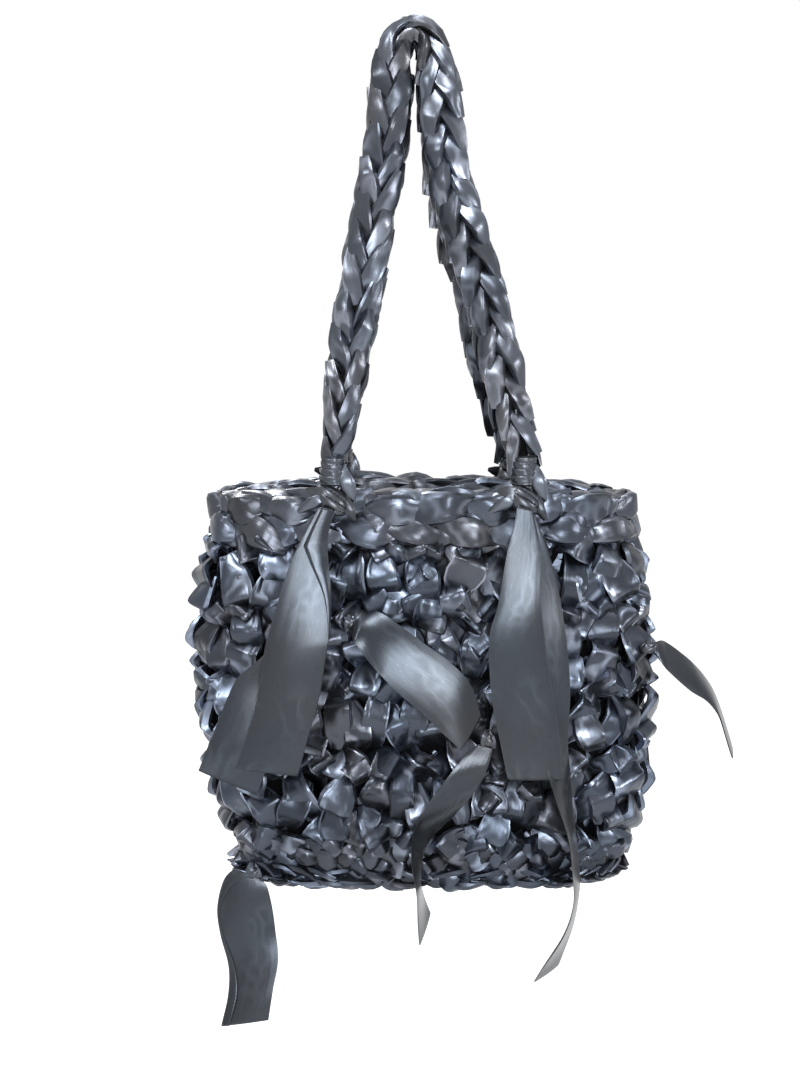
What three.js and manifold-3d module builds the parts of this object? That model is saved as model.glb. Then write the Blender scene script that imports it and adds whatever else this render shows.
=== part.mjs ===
// A tote crocheted from wide satin ribbon, hanging from the top of its two plaited handles.
// Millimetres, +Z up, +X to the right of the front, -Y the front.
// The origin is the point that both handles hang from.
import * as THREE from "three";
import { mergeVertices } from "three/addons/utils/BufferGeometryUtils.js";
import Module from "manifold-3d";

const wasm = await Module();
wasm.setup();

// Ribbon
const ribbonWidth = 38;
const ribbonThickness = 1.2;
const seatGap = 0.3;

// Bag body: sizes at the widest round, without the swell of the stitches
const handleDrop = 277;
const bagHalfWidth = 145;
const bagHalfDepth = 44;
const bagOffset = 6;
const wallThickness = 12;
const cornerPower = 2.7;

// Rounds, from the base up
const baseRoundHeight = 13.5;
const stitchRoundHeight = 49;
const rimHeight = 33;
const basePanelThickness = 11;
const baseRoundCount = 2;
const stitchRoundCount = 4;
const stitchRoundHeightShares = [1.14, 1, 0.96, 0.9];

// Stitches
const stitchesPerRound = 26;
const columnsPerStitch = 4;
const stitchSwell = 7;
const rimSwell = 5;
const baseSwell = 4;
const stitchInterlock = 3;
const stitchLeanShare = 0.5;
const valleyShare = 0.35;

// Handles
const leftSpread = 49;
const rightSpread = 67;
const strapHalfWidth = 9;
const strapHalfDepth = 8;
const plaitPitch = 25;
const plaitSwingShare = 0.22;
const ringsPerPlait = 4;
const apexShare = 0.65;
const backLegTuckShare = 0.12;
const bindingLength = 15;
const bindingHalfWidth = 8;
const bindingSwell = 1;
const wrapCount = 3;
const ringsPerWrap = 2;
const bindingClearance = 0.6;
const apexBend = 22;
const strapCorners = 8;
const bindingCorners = 12;

// Knots
const knotRadius = 9.5;
const knotHalfLength = 11;
const knotSink = 7;
const knotDrop = 5;
const endKnotRadius = 6;
const endKnotHalfLength = 4.5;
const endKnotSink = 3;
const knotFaces = 10;

// Loose ribbons, by the reach of each below or beside its knot
const frontLeftReach = 173;
const frontLeftUnderReach = 185;
const frontRightReach = 180;
const frontRightLongReach = 308;
const backLeftReach = 165;
const backRightReach = 205;
const middleReach = 75;
const lowerReach = 125;
const sideReach = 60;
const cornerReach = 98;
const cupShare = 0.12;
const startWidthShare = 0.2;
const standOffShare = 0.02;

// Where the single loose ends leave the wall: their share of the way round, from the right side by the
// back to the front, and their level among the rounds
const middleRoundShare = 0.681;
const middleLevel = 4.9;
const lowerRoundShare = 0.807;
const lowerLevel = 3.41;
const sideRoundShare = 0.963;
const sideLevel = 4.49;
const cornerRoundShare = 0.545;
const cornerLevel = 0.5;

// Satin of the ribbon, in the shades of its parts
const bodySatin = new THREE.MeshStandardMaterial({ color: 0x44464d, roughness: 0.36, metalness: 0.35 });
const handleSatin = new THREE.MeshStandardMaterial({ color: 0x4c4d54, roughness: 0.34, metalness: 0.35 });
const knotSatin = new THREE.MeshStandardMaterial({ color: 0x3b3c43, roughness: 0.38, metalness: 0.35 });
const tailSatin = new THREE.MeshStandardMaterial({ color: 0x5b5d64, roughness: 0.32, metalness: 0.35 });
const baseSatin = new THREE.MeshStandardMaterial({ color: 0x34353b, roughness: 0.42, metalness: 0.3 });

// Levels: the joins between rounds, from the base up, and the plan at each as shares of the widest round.
const halfWidthShares = [0.8, 0.87, 0.91, 0.98, 1, 0.98, 0.935, 0.875];
const halfDepthShares = [0.8, 0.88, 0.94, 1, 1, 0.98, 0.94, 0.89];
const sidewaysShares = [0.035, 0.04, 0.05, 0.025, 0, 0, 0, 0.003];
const interlockShares = [0, 0, 0, 1, 1, 1, 0, 0];

const rimTop = -handleDrop;
const roundHeights = [
  ...Array.from({ length: baseRoundCount }, () => baseRoundHeight),
  ...stitchRoundHeightShares.slice(0, stitchRoundCount).map((share) => share * stitchRoundHeight),
  rimHeight,
];
const levelHeights = roundHeights.reduceRight((levels, height) => [levels[0] - height, ...levels], [rimTop]);
const columnCount = stitchesPerRound * columnsPerStitch;

// The bag's outline from above: an oval with full corners.
class BagPlan extends THREE.Curve {
  constructor(halfWidth, halfDepth) {
    super();
    this.halfWidth = halfWidth;
    this.halfDepth = halfDepth;
    this.arcLengthDivisions = columnCount * columnsPerStitch * 2;
  }

  getPoint(share, target = new THREE.Vector3()) {
    const angle = share * 2 * Math.PI;
    const across = Math.cos(angle);
    const along = Math.sin(angle);
    return target.set(
      this.halfWidth * Math.sign(across) * Math.abs(across) ** (2 / cornerPower),
      this.halfDepth * Math.sign(along) * Math.abs(along) ** (2 / cornerPower),
      0,
    );
  }
}

// A table's value at a place between two levels.
function betweenLevels(values, level) {
  const lower = Math.min(Math.floor(level), values.length - 2);
  return THREE.MathUtils.lerp(values[lower], values[lower + 1], level - lower);
}

// The level, with its fraction, at a height.
function levelAt(height) {
  const above = levelHeights.findIndex((levelHeight) => levelHeight >= height);
  if (above === -1) return levelHeights.length - 1;
  if (above === 0) return 0;
  const below = above - 1;
  return below + (height - levelHeights[below]) / (levelHeights[above] - levelHeights[below]);
}

// A place on the plan at a level: its point and its outward direction, by its share of the way round.
const plans = new Map();
function planPlace(level, roundShare) {
  if (!plans.has(level)) {
    const halfWidth = bagHalfWidth * betweenLevels(halfWidthShares, level);
    const halfDepth = bagHalfDepth * betweenLevels(halfDepthShares, level);
    plans.set(level, new BagPlan(halfWidth, halfDepth));
  }
  const plan = plans.get(level);
  const point = plan.getPointAt(roundShare);
  point.x += bagOffset + bagHalfWidth * betweenLevels(sidewaysShares, level);
  const forward = plan.getTangentAt(roundShare);
  return { point, outward: new THREE.Vector3(forward.y, -forward.x, 0) };
}

// A point on the wall, by its column round the plan, its level, its distance out from the plan, and a step
// in height.
function wallPoint(column, level, outDistance, lift) {
  const { point, outward } = planPlace(level, column / columnCount);
  const wave = stitchInterlock * betweenLevels(interlockShares, level) * Math.cos(stitchPhase(column, level));
  return point.addScaledVector(outward, outDistance).setZ(betweenLevels(levelHeights, level) + wave + lift);
}

// Where a column lies within its stitch; each round is set half a stitch on from the one below.
function stitchPhase(column, level) {
  return (column / columnsPerStitch + (stitchLeanShare + 1 / 2) * level) * 2 * Math.PI;
}

// How far one stitch stands out of the wall: full in its middle, drawn in at its sides.
function swellAt(phase, swell) {
  return swell * (valleyShare + ((1 - valleyShare) * (1 - Math.cos(phase))) / 2);
}

// A closed mesh from rings of points. The rings close into a loop, or each end is capped. The faces from a
// ring's last corner to its first take the other diagonal, so that a round's underside fits the top below it.
function meshFromRings(rings, closesOnItself) {
  const size = rings[0].length;
  const index = [];
  const ringPairs = closesOnItself ? rings.length : rings.length - 1;
  for (let ring = 0; ring < ringPairs; ring += 1) {
    const here = ring * size;
    const next = ((ring + 1) % rings.length) * size;
    for (let corner = 0; corner < size; corner += 1) {
      const after = (corner + 1) % size;
      const quad = [here + corner, next + corner, next + after, here + after];
      const order = after === 0 ? [0, 1, 3, 1, 2, 3] : [0, 1, 2, 0, 2, 3];
      index.push(...order.map((vertex) => quad[vertex]));
    }
  }
  if (!closesOnItself) {
    const last = (rings.length - 1) * size;
    for (let corner = 0; corner < size / 2 - 1; corner += 1) {
      const [near, far] = [size - 2 - corner, size - 1 - corner];
      index.push(corner, corner + 1, near, corner, near, far);
      index.push(last + near, last + corner + 1, last + corner, last + far, last + near, last + corner);
    }
  }
  const geometry = new THREE.BufferGeometry().setFromPoints(rings.flat());
  geometry.setIndex(index);
  return geometry;
}

// One crocheted round, from a ring of points for each column. Each row is a place in the round's height
// and how far the wall stands out there.
function roundGeometry(lowerLevel, rows) {
  const inner = [1, 0];
  const columns = Array.from({ length: columnCount }, (_, column) => {
    const outerPoints = rows.map(({ share, swell }) =>
      wallPoint(column, lowerLevel + share, swell(column), liftAt(lowerLevel, share)),
    );
    const innerPoints = inner.map((share) =>
      wallPoint(column, lowerLevel + share, -wallThickness, liftAt(lowerLevel, share)),
    );
    return [...outerPoints, ...innerPoints];
  });
  return meshFromRings(columns, true);
}

// Half the seat gap is left under and over each round, but the base and the rim's edge keep their place.
function liftAt(lowerLevel, share) {
  if (share === 0 && lowerLevel > 0) return seatGap / 2;
  if (share === 1 && lowerLevel < roundHeights.length - 1) return -seatGap / 2;
  return 0;
}

const flush = () => 0;

function stitchRound(lowerLevel) {
  const rowShares = [0.28, 0.72];
  const rows = rowShares.map((share) => ({
    share,
    swell: (column) => swellAt(stitchPhase(column, lowerLevel + share), stitchSwell),
  }));
  return roundGeometry(lowerLevel, [{ share: 0, swell: flush }, ...rows, { share: 1, swell: flush }]);
}

// A base round: small tight stitches, two for each stitch of the wall.
function baseRound(lowerLevel) {
  const swell = (column) => swellAt(2 * stitchPhase(column, lowerLevel), baseSwell);
  const rows = [{ share: 0, swell: flush }, { share: 1 / 2, swell }, { share: 1, swell: flush }];
  return roundGeometry(lowerLevel, rows);
}

// The rim: a chain of long loops in two tiers, the upper one half a loop on from the lower.
function rimRound(lowerLevel) {
  const tier = (halfLoops) => (column) =>
    swellAt(stitchPhase(column, lowerLevel) + halfLoops * Math.PI, rimSwell);
  const rows = [
    { share: 0, swell: flush },
    { share: 0.24, swell: tier(0) },
    { share: 1 / 2, swell: flush },
    { share: 0.76, swell: tier(1) },
    { share: 1, swell: flush },
  ];
  return roundGeometry(lowerLevel, rows);
}

// The flat crocheted base, inside the lowest round and standing on the same plane.
function basePanel() {
  const topLevel = basePanelThickness / baseRoundHeight;
  const rings = [topLevel, 0].map((level) =>
    Array.from({ length: columnCount }, (_, column) => wallPoint(column, level, -wallThickness - seatGap, 0)),
  );
  return meshFromRings(rings, false);
}

// Half depth of the wall at a height, out to the crests of its stitches.
function crestDepth(height) {
  return bagHalfDepth * betweenLevels(halfDepthShares, levelAt(height)) + stitchSwell;
}

// The handles' knots sit in the rim's outer face, just under its top edge.
const rimLevel = roundHeights.length - 1 / 2;
const rimFront = bagHalfDepth * betweenLevels(halfDepthShares, rimLevel) + rimSwell;
const knotDepth = rimFront + knotRadius - knotSink;
const knotHeight = rimTop - knotDrop;

// The places of the knots: side is -1 at the front and 1 at the back.
const handleKnotPlace = (spread, side) => new THREE.Vector3(spread, side * knotDepth, knotHeight);
const frontLeftPlace = handleKnotPlace(-leftSpread, -1);
const frontRightPlace = handleKnotPlace(rightSpread, -1);
const backLeftPlace = handleKnotPlace(-leftSpread, 1);
const backRightPlace = handleKnotPlace(rightSpread, 1);

// A loose end's knot, sunk a little into the wall, by its share of the way round, its level and how far the
// stitches swell there.
function endKnotPlace(roundShare, level, swell) {
  const { point, outward } = planPlace(level, roundShare);
  return point
    .addScaledVector(outward, swell + endKnotRadius - endKnotSink)
    .setZ(betweenLevels(levelHeights, level));
}

const middlePlace = endKnotPlace(middleRoundShare, middleLevel, stitchSwell * valleyShare);
const lowerPlace = endKnotPlace(lowerRoundShare, lowerLevel, stitchSwell);
const sidePlace = endKnotPlace(sideRoundShare, sideLevel, stitchSwell);
const cornerPlace = endKnotPlace(cornerRoundShare, cornerLevel, baseSwell);

// A knot, round about its axis, with full ends. The axis runs across the bag, or through it from front to
// back.
const acrossBag = new THREE.Euler(0, 0, -Math.PI / 2);
const throughBag = new THREE.Euler(Math.PI / 2, 0, 0);
const knotProfileShares = [[0, -1], [0.62, -0.92], [0.94, -0.5], [1, 0], [0.94, 0.5], [0.62, 0.92], [0, 1]];
function knotGeometry({ radius, halfLength, axis }, clearance) {
  const profile = knotProfileShares.map(([outShare, alongShare]) =>
    new THREE.Vector2(outShare * (radius + clearance), alongShare * (halfLength + clearance)),
  );
  const turned = new THREE.Matrix4().makeRotationFromEuler(axis);
  return new THREE.LatheGeometry(profile, knotFaces).applyMatrix4(turned);
}

const handleKnot = { radius: knotRadius, halfLength: knotHalfLength, axis: acrossBag };
const endKnot = { radius: endKnotRadius, halfLength: endKnotHalfLength, axis: acrossBag };
const sideKnot = { ...endKnot, axis: throughBag };
const knots = [
  { name: "front_left_knot", place: frontLeftPlace, form: handleKnot },
  { name: "front_right_knot", place: frontRightPlace, form: handleKnot },
  { name: "back_left_knot", place: backLeftPlace, form: handleKnot },
  { name: "back_right_knot", place: backRightPlace, form: handleKnot },
  { name: "middle_end_knot", place: middlePlace, form: endKnot },
  { name: "lower_end_knot", place: lowerPlace, form: endKnot },
  { name: "side_end_knot", place: sidePlace, form: sideKnot },
  { name: "corner_end_knot", place: cornerPlace, form: endKnot },
];

function solidOf(geometry) {
  const bare = geometry.clone();
  bare.deleteAttribute("normal");
  bare.deleteAttribute("uv");
  const merged = mergeVertices(bare);
  return new wasm.Manifold(
    new wasm.Mesh({
      numProp: 3,
      vertProperties: new Float32Array(merged.attributes.position.array),
      triVerts: new Uint32Array(merged.index.array),
    }),
  );
}

function geometryOf(solid) {
  const { vertProperties, triVerts } = solid.getMesh();
  const geometry = new THREE.BufferGeometry();
  geometry.setAttribute("position", new THREE.BufferAttribute(new Float32Array(vertProperties), 3));
  geometry.setIndex(new THREE.BufferAttribute(new Uint32Array(triVerts), 1));
  return geometry;
}

// A round with a seat for each knot that sits in it.
function withKnotSeats(geometry) {
  geometry.computeBoundingBox();
  const seats = knots
    .map(({ place, form }) => knotGeometry(form, seatGap).translate(place.x, place.y, place.z))
    .filter((seat) => {
      seat.computeBoundingBox();
      return seat.boundingBox.intersectsBox(geometry.boundingBox);
    });
  if (seats.length === 0) return geometry;
  return geometryOf(seats.reduce((solid, seat) => solid.subtract(solidOf(seat)), solidOf(geometry)));
}

// A route that lies near one upright plane, with what is swept along it.
class Sweep {
  constructor(points, depthDirection) {
    this.curve = new THREE.CatmullRomCurve3(points, false, "centripetal");
    this.depthDirection = depthDirection;
    this.length = this.curve.getLength();
  }

  // Rings of an oval section between two distances; size scales the oval by distance and angle.
  rings({ from, to, ringCount, cornerCount, halfWidth, halfDepth, size }) {
    return Array.from({ length: ringCount + 1 }, (_, ring) => {
      const distance = THREE.MathUtils.lerp(from, to, ring / ringCount);
      const centre = this.curve.getPointAt(distance / this.length);
      const forward = this.curve.getTangentAt(distance / this.length);
      const across = new THREE.Vector3().crossVectors(forward, this.depthDirection).normalize();
      const deep = new THREE.Vector3().crossVectors(across, forward);
      return Array.from({ length: cornerCount }, (__, corner) => {
        const angle = (corner / cornerCount) * 2 * Math.PI;
        const scale = size(distance, angle);
        return centre
          .clone()
          .addScaledVector(across, halfWidth * scale * Math.cos(angle))
          .addScaledVector(deep, halfDepth * scale * Math.sin(angle));
      });
    });
  }
}

// A leg's route: shares of the drop below the top, and of the knot's distance to the side.
const leftLegShares = [
  [0.04, 0.24], [0.16, 0.3], [0.28, 0.39], [0.42, 0.52], [0.58, 0.69], [0.72, 0.82], [0.86, 0.945],
  [0.93, 1], [1, 1],
];
const rightLegShares = [
  [0.04, 0.17], [0.14, 0.22], [0.27, 0.3], [0.42, 0.455], [0.58, 0.67], [0.72, 0.79], [0.86, 0.935],
  [0.93, 1], [1, 1],
];
const apexHeight = strapHalfWidth * apexShare;
const apexDepth = strapHalfDepth * apexShare + seatGap / 2;

// The front handle is on side -1 and the back one on side 1, tucked in behind it.
function handleSweep(side) {
  const tuck = side > 0 ? backLegTuckShare : 0;
  const legPoint = (spread) => ([dropShare, spreadShare]) =>
    new THREE.Vector3(
      spread * spreadShare * (1 - tuck * Math.sin(Math.PI * dropShare)),
      side * THREE.MathUtils.lerp(apexDepth, knotDepth, dropShare),
      THREE.MathUtils.lerp(apexHeight, knotHeight, dropShare),
    );
  const points = [
    ...leftLegShares.map(legPoint(-leftSpread)).reverse(),
    new THREE.Vector3(0, side * apexDepth, apexHeight),
    ...rightLegShares.map(legPoint(rightSpread)),
  ];
  return new Sweep(points, new THREE.Vector3(0, 1, 0));
}

// The plaited strap: its two edges swell by turns, and it thins where it bends over at the top.
function strapGeometry(sweep) {
  const from = knotRadius + bindingClearance + bindingLength + seatGap;
  const to = sweep.length - from;
  const size = (distance, angle) => {
    const turn = ((distance - from) / plaitPitch) * 2 * Math.PI;
    const drop = apexHeight - sweep.curve.getPointAt(distance / sweep.length).z;
    const pinch = THREE.MathUtils.lerp(apexShare, 1, Math.min(1, drop / apexBend));
    return pinch * (1 - (plaitSwingShare * (1 - Math.cos(angle) * Math.cos(turn))) / 2);
  };
  const ringCount = Math.round((to - from) / plaitPitch) * ringsPerPlait;
  const halfSizes = { halfWidth: strapHalfWidth, halfDepth: strapHalfDepth };
  const reach = { from, to, ringCount, cornerCount: strapCorners };
  return meshFromRings(sweep.rings({ ...reach, ...halfSizes, size }), false);
}

// The wraps of ribbon that bind a strap's end over its knot.
function bindingGeometry(sweep, isLeft) {
  const near = knotRadius + bindingClearance;
  const from = isLeft ? near : sweep.length - near - bindingLength;
  const size = (distance) => {
    const wraps = ((distance - from) / bindingLength) * wrapCount;
    return 1 + (bindingSwell / bindingHalfWidth) * Math.sin(wraps * Math.PI) ** 2;
  };
  const ringCount = wrapCount * ringsPerWrap;
  const halfSizes = { halfWidth: bindingHalfWidth, halfDepth: bindingHalfWidth };
  const reach = { from, to: from + bindingLength, ringCount, cornerCount: bindingCorners };
  return meshFromRings(sweep.rings({ ...reach, ...halfSizes, size }), false);
}

// A flat length of ribbon through its stations: a centre, a half width and a turn about the run at each.
// facing is the direction that the flat of the ribbon looks, and the ribbon is a little cupped that way.
function ribbonGeometry(stations, facing) {
  const rings = stations.map(({ centre, halfWidth, turn }, place) => {
    const before = stations[Math.max(place - 1, 0)].centre;
    const after = stations[Math.min(place + 1, stations.length - 1)].centre;
    const run = after.clone().sub(before).normalize();
    const flat = facing.clone().addScaledVector(run, -facing.dot(run)).normalize().applyAxisAngle(run, turn);
    const across = new THREE.Vector3().crossVectors(run, flat);
    const corner = (sideways, face) => {
      const cup = (1 - Math.abs(sideways)) * cupShare * halfWidth;
      return centre
        .clone()
        .addScaledVector(across, sideways * halfWidth)
        .addScaledVector(flat, (face * ribbonThickness) / 2 + cup);
    };
    return [corner(-1, -1), corner(0, -1), corner(1, -1), corner(1, 1), corner(0, 1), corner(-1, 1)];
  });
  return meshFromRings(rings, false);
}

// A ribbon that hangs from a knot. Its rows are shares: of its reach to the side and down, of the ribbon's
// width, and of a half turn. It stays outside what it hangs over, and a higher layer lies over a lower one.
function hangingRibbon({ from, radius, reach, layer, rowShares, over }) {
  const side = Math.sign(from.y);
  const startShare = (radius + seatGap) / reach;
  const startRows = [startShare, startShare + ribbonThickness / reach];
  const rows = [...startRows.map((downShare) => [0, downShare, startWidthShare, 0]), ...rowShares];
  const stations = rows.map(([sideShare, downShare, widthShare, turnShare]) => {
    const height = from.z - reach * downShare;
    const halfWidth = (widthShare * ribbonWidth) / 2;
    const turn = turnShare * Math.PI;
    const overWall = over(height) + seatGap + ribbonThickness / 2 + halfWidth * Math.abs(Math.sin(turn));
    const spread = Math.min(1, startWidthShare + (reach * downShare) / (2 * ribbonWidth));
    const layerStep = ribbonThickness + seatGap + (spread * cupShare * ribbonWidth) / 2;
    const standOff = layer * layerStep + standOffShare * reach * downShare;
    const depth = Math.max(overWall, Math.abs(from.y)) + standOff;
    return { centre: new THREE.Vector3(from.x + reach * sideShare, side * depth, height), halfWidth, turn };
  });
  return ribbonGeometry(stations, new THREE.Vector3(0, side, 0));
}

const frontLeftShares = [
  [-0.03, 0.115, 0.35, 0], [-0.075, 0.19, 0.62, 0], [-0.1, 0.38, 0.9, 0],
  [-0.13, 0.56, 1, 0], [-0.16, 0.7, 1, 0], [-0.24, 1, 1, 0],
];
const frontLeftUnderShares = [
  [-0.02, 0.11, 0.3, 0], [-0.07, 0.22, 0.6, 0], [-0.135, 0.39, 0.85, 0],
  [-0.195, 0.56, 1, 0], [-0.265, 0.77, 1, 0], [-0.33, 1, 1, 0],
];
const frontRightShares = [
  [0, 0.16, 0.36, 0], [-0.005, 0.26, 0.5, 0], [-0.01, 0.37, 0.68, 0],
  [-0.02, 0.51, 0.85, 0], [-0.01, 0.65, 0.95, 0], [0.01, 0.8, 0.97, 0], [0.05, 1, 0.97, 0],
];
const frontRightLongShares = [
  [0.01, 0.1, 0.3, 0], [0.04, 0.215, 0.5, 0], [0.06, 0.375, 0.5, 0], [0.07, 0.48, 0.5, 0],
  [0.075, 0.59, 0.5, 0.04], [0.1, 0.7, 0.45, 0.26], [0.115, 0.78, 0.4, 0.33], [0.115, 0.84, 0.4, 0.33],
  [0.1, 0.91, 0.45, 0.28], [0.05, 1, 0.5, 0.2],
];
const backLeftShares = [
  [0.02, 0.15, 0.36, 0], [0.04, 0.3, 0.7, 0], [0.05, 0.5, 0.9, 0], [0.04, 0.75, 1, 0], [0.06, 1, 1, 0],
];
const backLeftUnderShares = [
  [-0.03, 0.15, 0.36, 0], [-0.08, 0.3, 0.6, 0], [-0.12, 0.5, 0.9, 0], [-0.15, 0.7, 1, 0], [-0.2, 0.9, 1, 0],
];
const backRightShares = [
  [0.065, 0.2, 0.5, 0], [0.16, 0.4, 0.8, 0], [0.27, 0.6, 0.95, 0], [0.355, 0.77, 1, 0], [0.39, 1, 1, 0],
];
const backRightUnderShares = [
  [0, 0.15, 0.36, 0], [-0.02, 0.3, 0.7, 0], [-0.03, 0.5, 0.9, 0], [0, 0.7, 1, 0], [-0.02, 0.82, 1, 0],
];
const middleShares = [
  [0.12, 0.18, 0.6, 0], [0.41, 0.3, 0.8, 0], [0.68, 0.46, 0.88, 0], [0.84, 0.6, 0.9, 0], [0.97, 0.76, 0.9, 0],
];
const lowerShares = [
  [-0.1, 0.21, 0.45, 0], [-0.22, 0.36, 0.6, 0.05], [-0.31, 0.49, 0.5, 0.15], [-0.35, 0.63, 0.4, 0.3],
  [-0.36, 0.74, 0.35, 0.4], [-0.335, 0.865, 0.35, 0.3], [-0.315, 0.985, 0.38, 0.15],
];
const cornerShares = [
  [0, 0.15, 0.75, 0], [0.03, 0.3, 0.85, 0], [0.07, 0.52, 0.82, 0], [0.055, 0.7, 0.82, 0],
  [0.02, 0.89, 0.82, 0],
];

// The ribbon at the bag's side springs out past the wall, then turns over and droops. Its rows are shares
// as above, and it looks to the front.
const sideShares = [
  [0.17, 0.04, 0.3, 0.2], [0.25, 0.13, 0.4, 0.25], [0.45, 0.3, 0.7, 0.3], [0.6, 0.42, 0.8, 0.3],
  [0.75, 0.56, 0.75, 0.34], [0.85, 0.8, 0.6, 0.4], [0.9, 0.92, 0.5, 0.4], [0.965, 1.15, 0.45, 0.33],
];
function sideRibbon() {
  const startShare = (endKnotRadius + seatGap) / sideReach;
  const startRows = [startShare, startShare + ribbonThickness / sideReach];
  const rows = [...startRows.map((sideShare) => [sideShare, 0, startWidthShare, 0]), ...sideShares];
  const stations = rows.map(([sideShare, downShare, widthShare, turnShare]) => ({
    centre: sidePlace.clone().add(new THREE.Vector3(sideReach * sideShare, 0, -sideReach * downShare)),
    halfWidth: (widthShare * ribbonWidth) / 2,
    turn: turnShare * Math.PI,
  }));
  return ribbonGeometry(stations, new THREE.Vector3(0, -1, 0));
}

const fromHandleKnot = (from, reach, layer, rowShares) =>
  hangingRibbon({ from, radius: knotRadius, reach, layer, rowShares, over: crestDepth });
const fromEndKnot = (from, reach, rowShares, over) =>
  hangingRibbon({ from, radius: endKnotRadius, reach, layer: 0, rowShares, over });
const belowBase = () => 0;

// The assembly
const tote = new THREE.Group();

function addPiece(group, name, geometry, material) {
  const mesh = new THREE.Mesh(geometry, material);
  mesh.name = name;
  group.add(mesh);
  return mesh;
}

const bag = new THREE.Group();
tote.add(bag);
addPiece(bag, "base_panel", basePanel(), baseSatin);
for (let round = 0; round < baseRoundCount; round += 1) {
  addPiece(bag, `base_edge_round_${round + 1}`, withKnotSeats(baseRound(round)), baseSatin);
}
for (let round = 0; round < stitchRoundCount; round += 1) {
  addPiece(bag, `stitch_round_${round + 1}`, withKnotSeats(stitchRound(baseRoundCount + round)), bodySatin);
}
addPiece(bag, "rim_round", withKnotSeats(rimRound(baseRoundCount + stitchRoundCount)), bodySatin);
for (const { name, place, form } of knots) {
  addPiece(bag, name, knotGeometry(form, 0), knotSatin).position.copy(place);
}

for (const [side, label] of [[-1, "front"], [1, "back"]]) {
  const handle = new THREE.Group();
  tote.add(handle);
  const sweep = handleSweep(side);
  addPiece(handle, `${label}_handle_strap`, strapGeometry(sweep), handleSatin);
  addPiece(handle, `${label}_left_binding`, bindingGeometry(sweep, true), knotSatin);
  addPiece(handle, `${label}_right_binding`, bindingGeometry(sweep, false), knotSatin);
}

const looseRibbons = new THREE.Group();
tote.add(looseRibbons);
const ribbons = {
  front_left_ribbon: fromHandleKnot(frontLeftPlace, frontLeftReach, 1, frontLeftShares),
  front_left_under_ribbon: fromHandleKnot(frontLeftPlace, frontLeftUnderReach, 0, frontLeftUnderShares),
  front_right_ribbon: fromHandleKnot(frontRightPlace, frontRightReach, 1, frontRightShares),
  front_right_long_ribbon: fromHandleKnot(frontRightPlace, frontRightLongReach, 0, frontRightLongShares),
  back_left_ribbon: fromHandleKnot(backLeftPlace, backLeftReach, 1, backLeftShares),
  back_left_under_ribbon: fromHandleKnot(backLeftPlace, backLeftReach, 0, backLeftUnderShares),
  back_right_ribbon: fromHandleKnot(backRightPlace, backRightReach, 1, backRightShares),
  back_right_under_ribbon: fromHandleKnot(backRightPlace, backRightReach, 0, backRightUnderShares),
  middle_ribbon: fromEndKnot(middlePlace, middleReach, middleShares, crestDepth),
  lower_ribbon: fromEndKnot(lowerPlace, lowerReach, lowerShares, crestDepth),
  side_ribbon: sideRibbon(),
  corner_ribbon: fromEndKnot(cornerPlace, cornerReach, cornerShares, belowBase),
};
for (const [name, geometry] of Object.entries(ribbons)) {
  addPiece(looseRibbons, name, geometry, tailSatin);
}

export default tote;
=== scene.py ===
"""A tote crocheted from one wide satin ribbon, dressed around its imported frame.

Metres, +Z up, +X to the right of the front, -Y the front. The origin is the point that both handles
hang from.
"""

import logging
import math
import random
from collections.abc import Sequence
from dataclasses import dataclass, field, fields
from enum import Enum

import bpy
import numpy as np
from mathutils import Matrix, Vector


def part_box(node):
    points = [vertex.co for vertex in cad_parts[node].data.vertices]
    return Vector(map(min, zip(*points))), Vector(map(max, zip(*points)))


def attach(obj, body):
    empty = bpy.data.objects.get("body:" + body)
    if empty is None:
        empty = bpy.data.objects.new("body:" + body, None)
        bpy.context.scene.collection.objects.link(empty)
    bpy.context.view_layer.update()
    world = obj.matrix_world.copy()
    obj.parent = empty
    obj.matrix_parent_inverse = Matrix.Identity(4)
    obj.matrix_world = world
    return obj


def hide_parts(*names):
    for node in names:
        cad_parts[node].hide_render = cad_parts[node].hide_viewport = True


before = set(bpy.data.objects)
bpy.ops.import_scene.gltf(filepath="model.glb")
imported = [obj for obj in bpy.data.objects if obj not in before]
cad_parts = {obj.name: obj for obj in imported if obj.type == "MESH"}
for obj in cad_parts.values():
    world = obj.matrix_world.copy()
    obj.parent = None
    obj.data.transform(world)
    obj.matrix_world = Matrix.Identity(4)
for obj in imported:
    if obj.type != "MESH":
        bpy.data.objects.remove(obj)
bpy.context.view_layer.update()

log = logging.getLogger("satin_tote")

MM = 0.001
RIBBON_WIDTH = 0.038
CORNER_POWER = 2.7
UP = Vector((0, 0, 1))
PLACE = "ribbon_place"
SHADE = "ribbon_shade"
NUMBER = "NodeSocketFloat"
VECTOR = "NodeSocketVector"
COLOUR = "NodeSocketColor"
MATERIAL = "NodeSocketMaterial"
SHAPE = {"Geometry": "NodeSocketGeometry"}


class Side(Enum):
    """The two faces of the bag, by the sign of Y that they look along."""

    FRONT = -1
    BACK = 1


class Slot(Enum):
    """Names of the material slots; nothing here uses them."""

    CROCHET = "crochet_satin"
    BOUND = "bound_satin"
    PLAITED = "plaited_satin"
    RIBBON = "ribbon_satin"


def labelled(item: object) -> dict[str, object]:
    """A dataclass's values, each under the label of its socket, such as Edge Place for edge_place."""
    return {entry.name.replace("_", " ").title(): getattr(item, entry.name) for entry in fields(item)}


def numbers(*labels: str) -> dict[str, str]:
    """Sockets that carry numbers."""
    return dict.fromkeys(labels, NUMBER)


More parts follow.
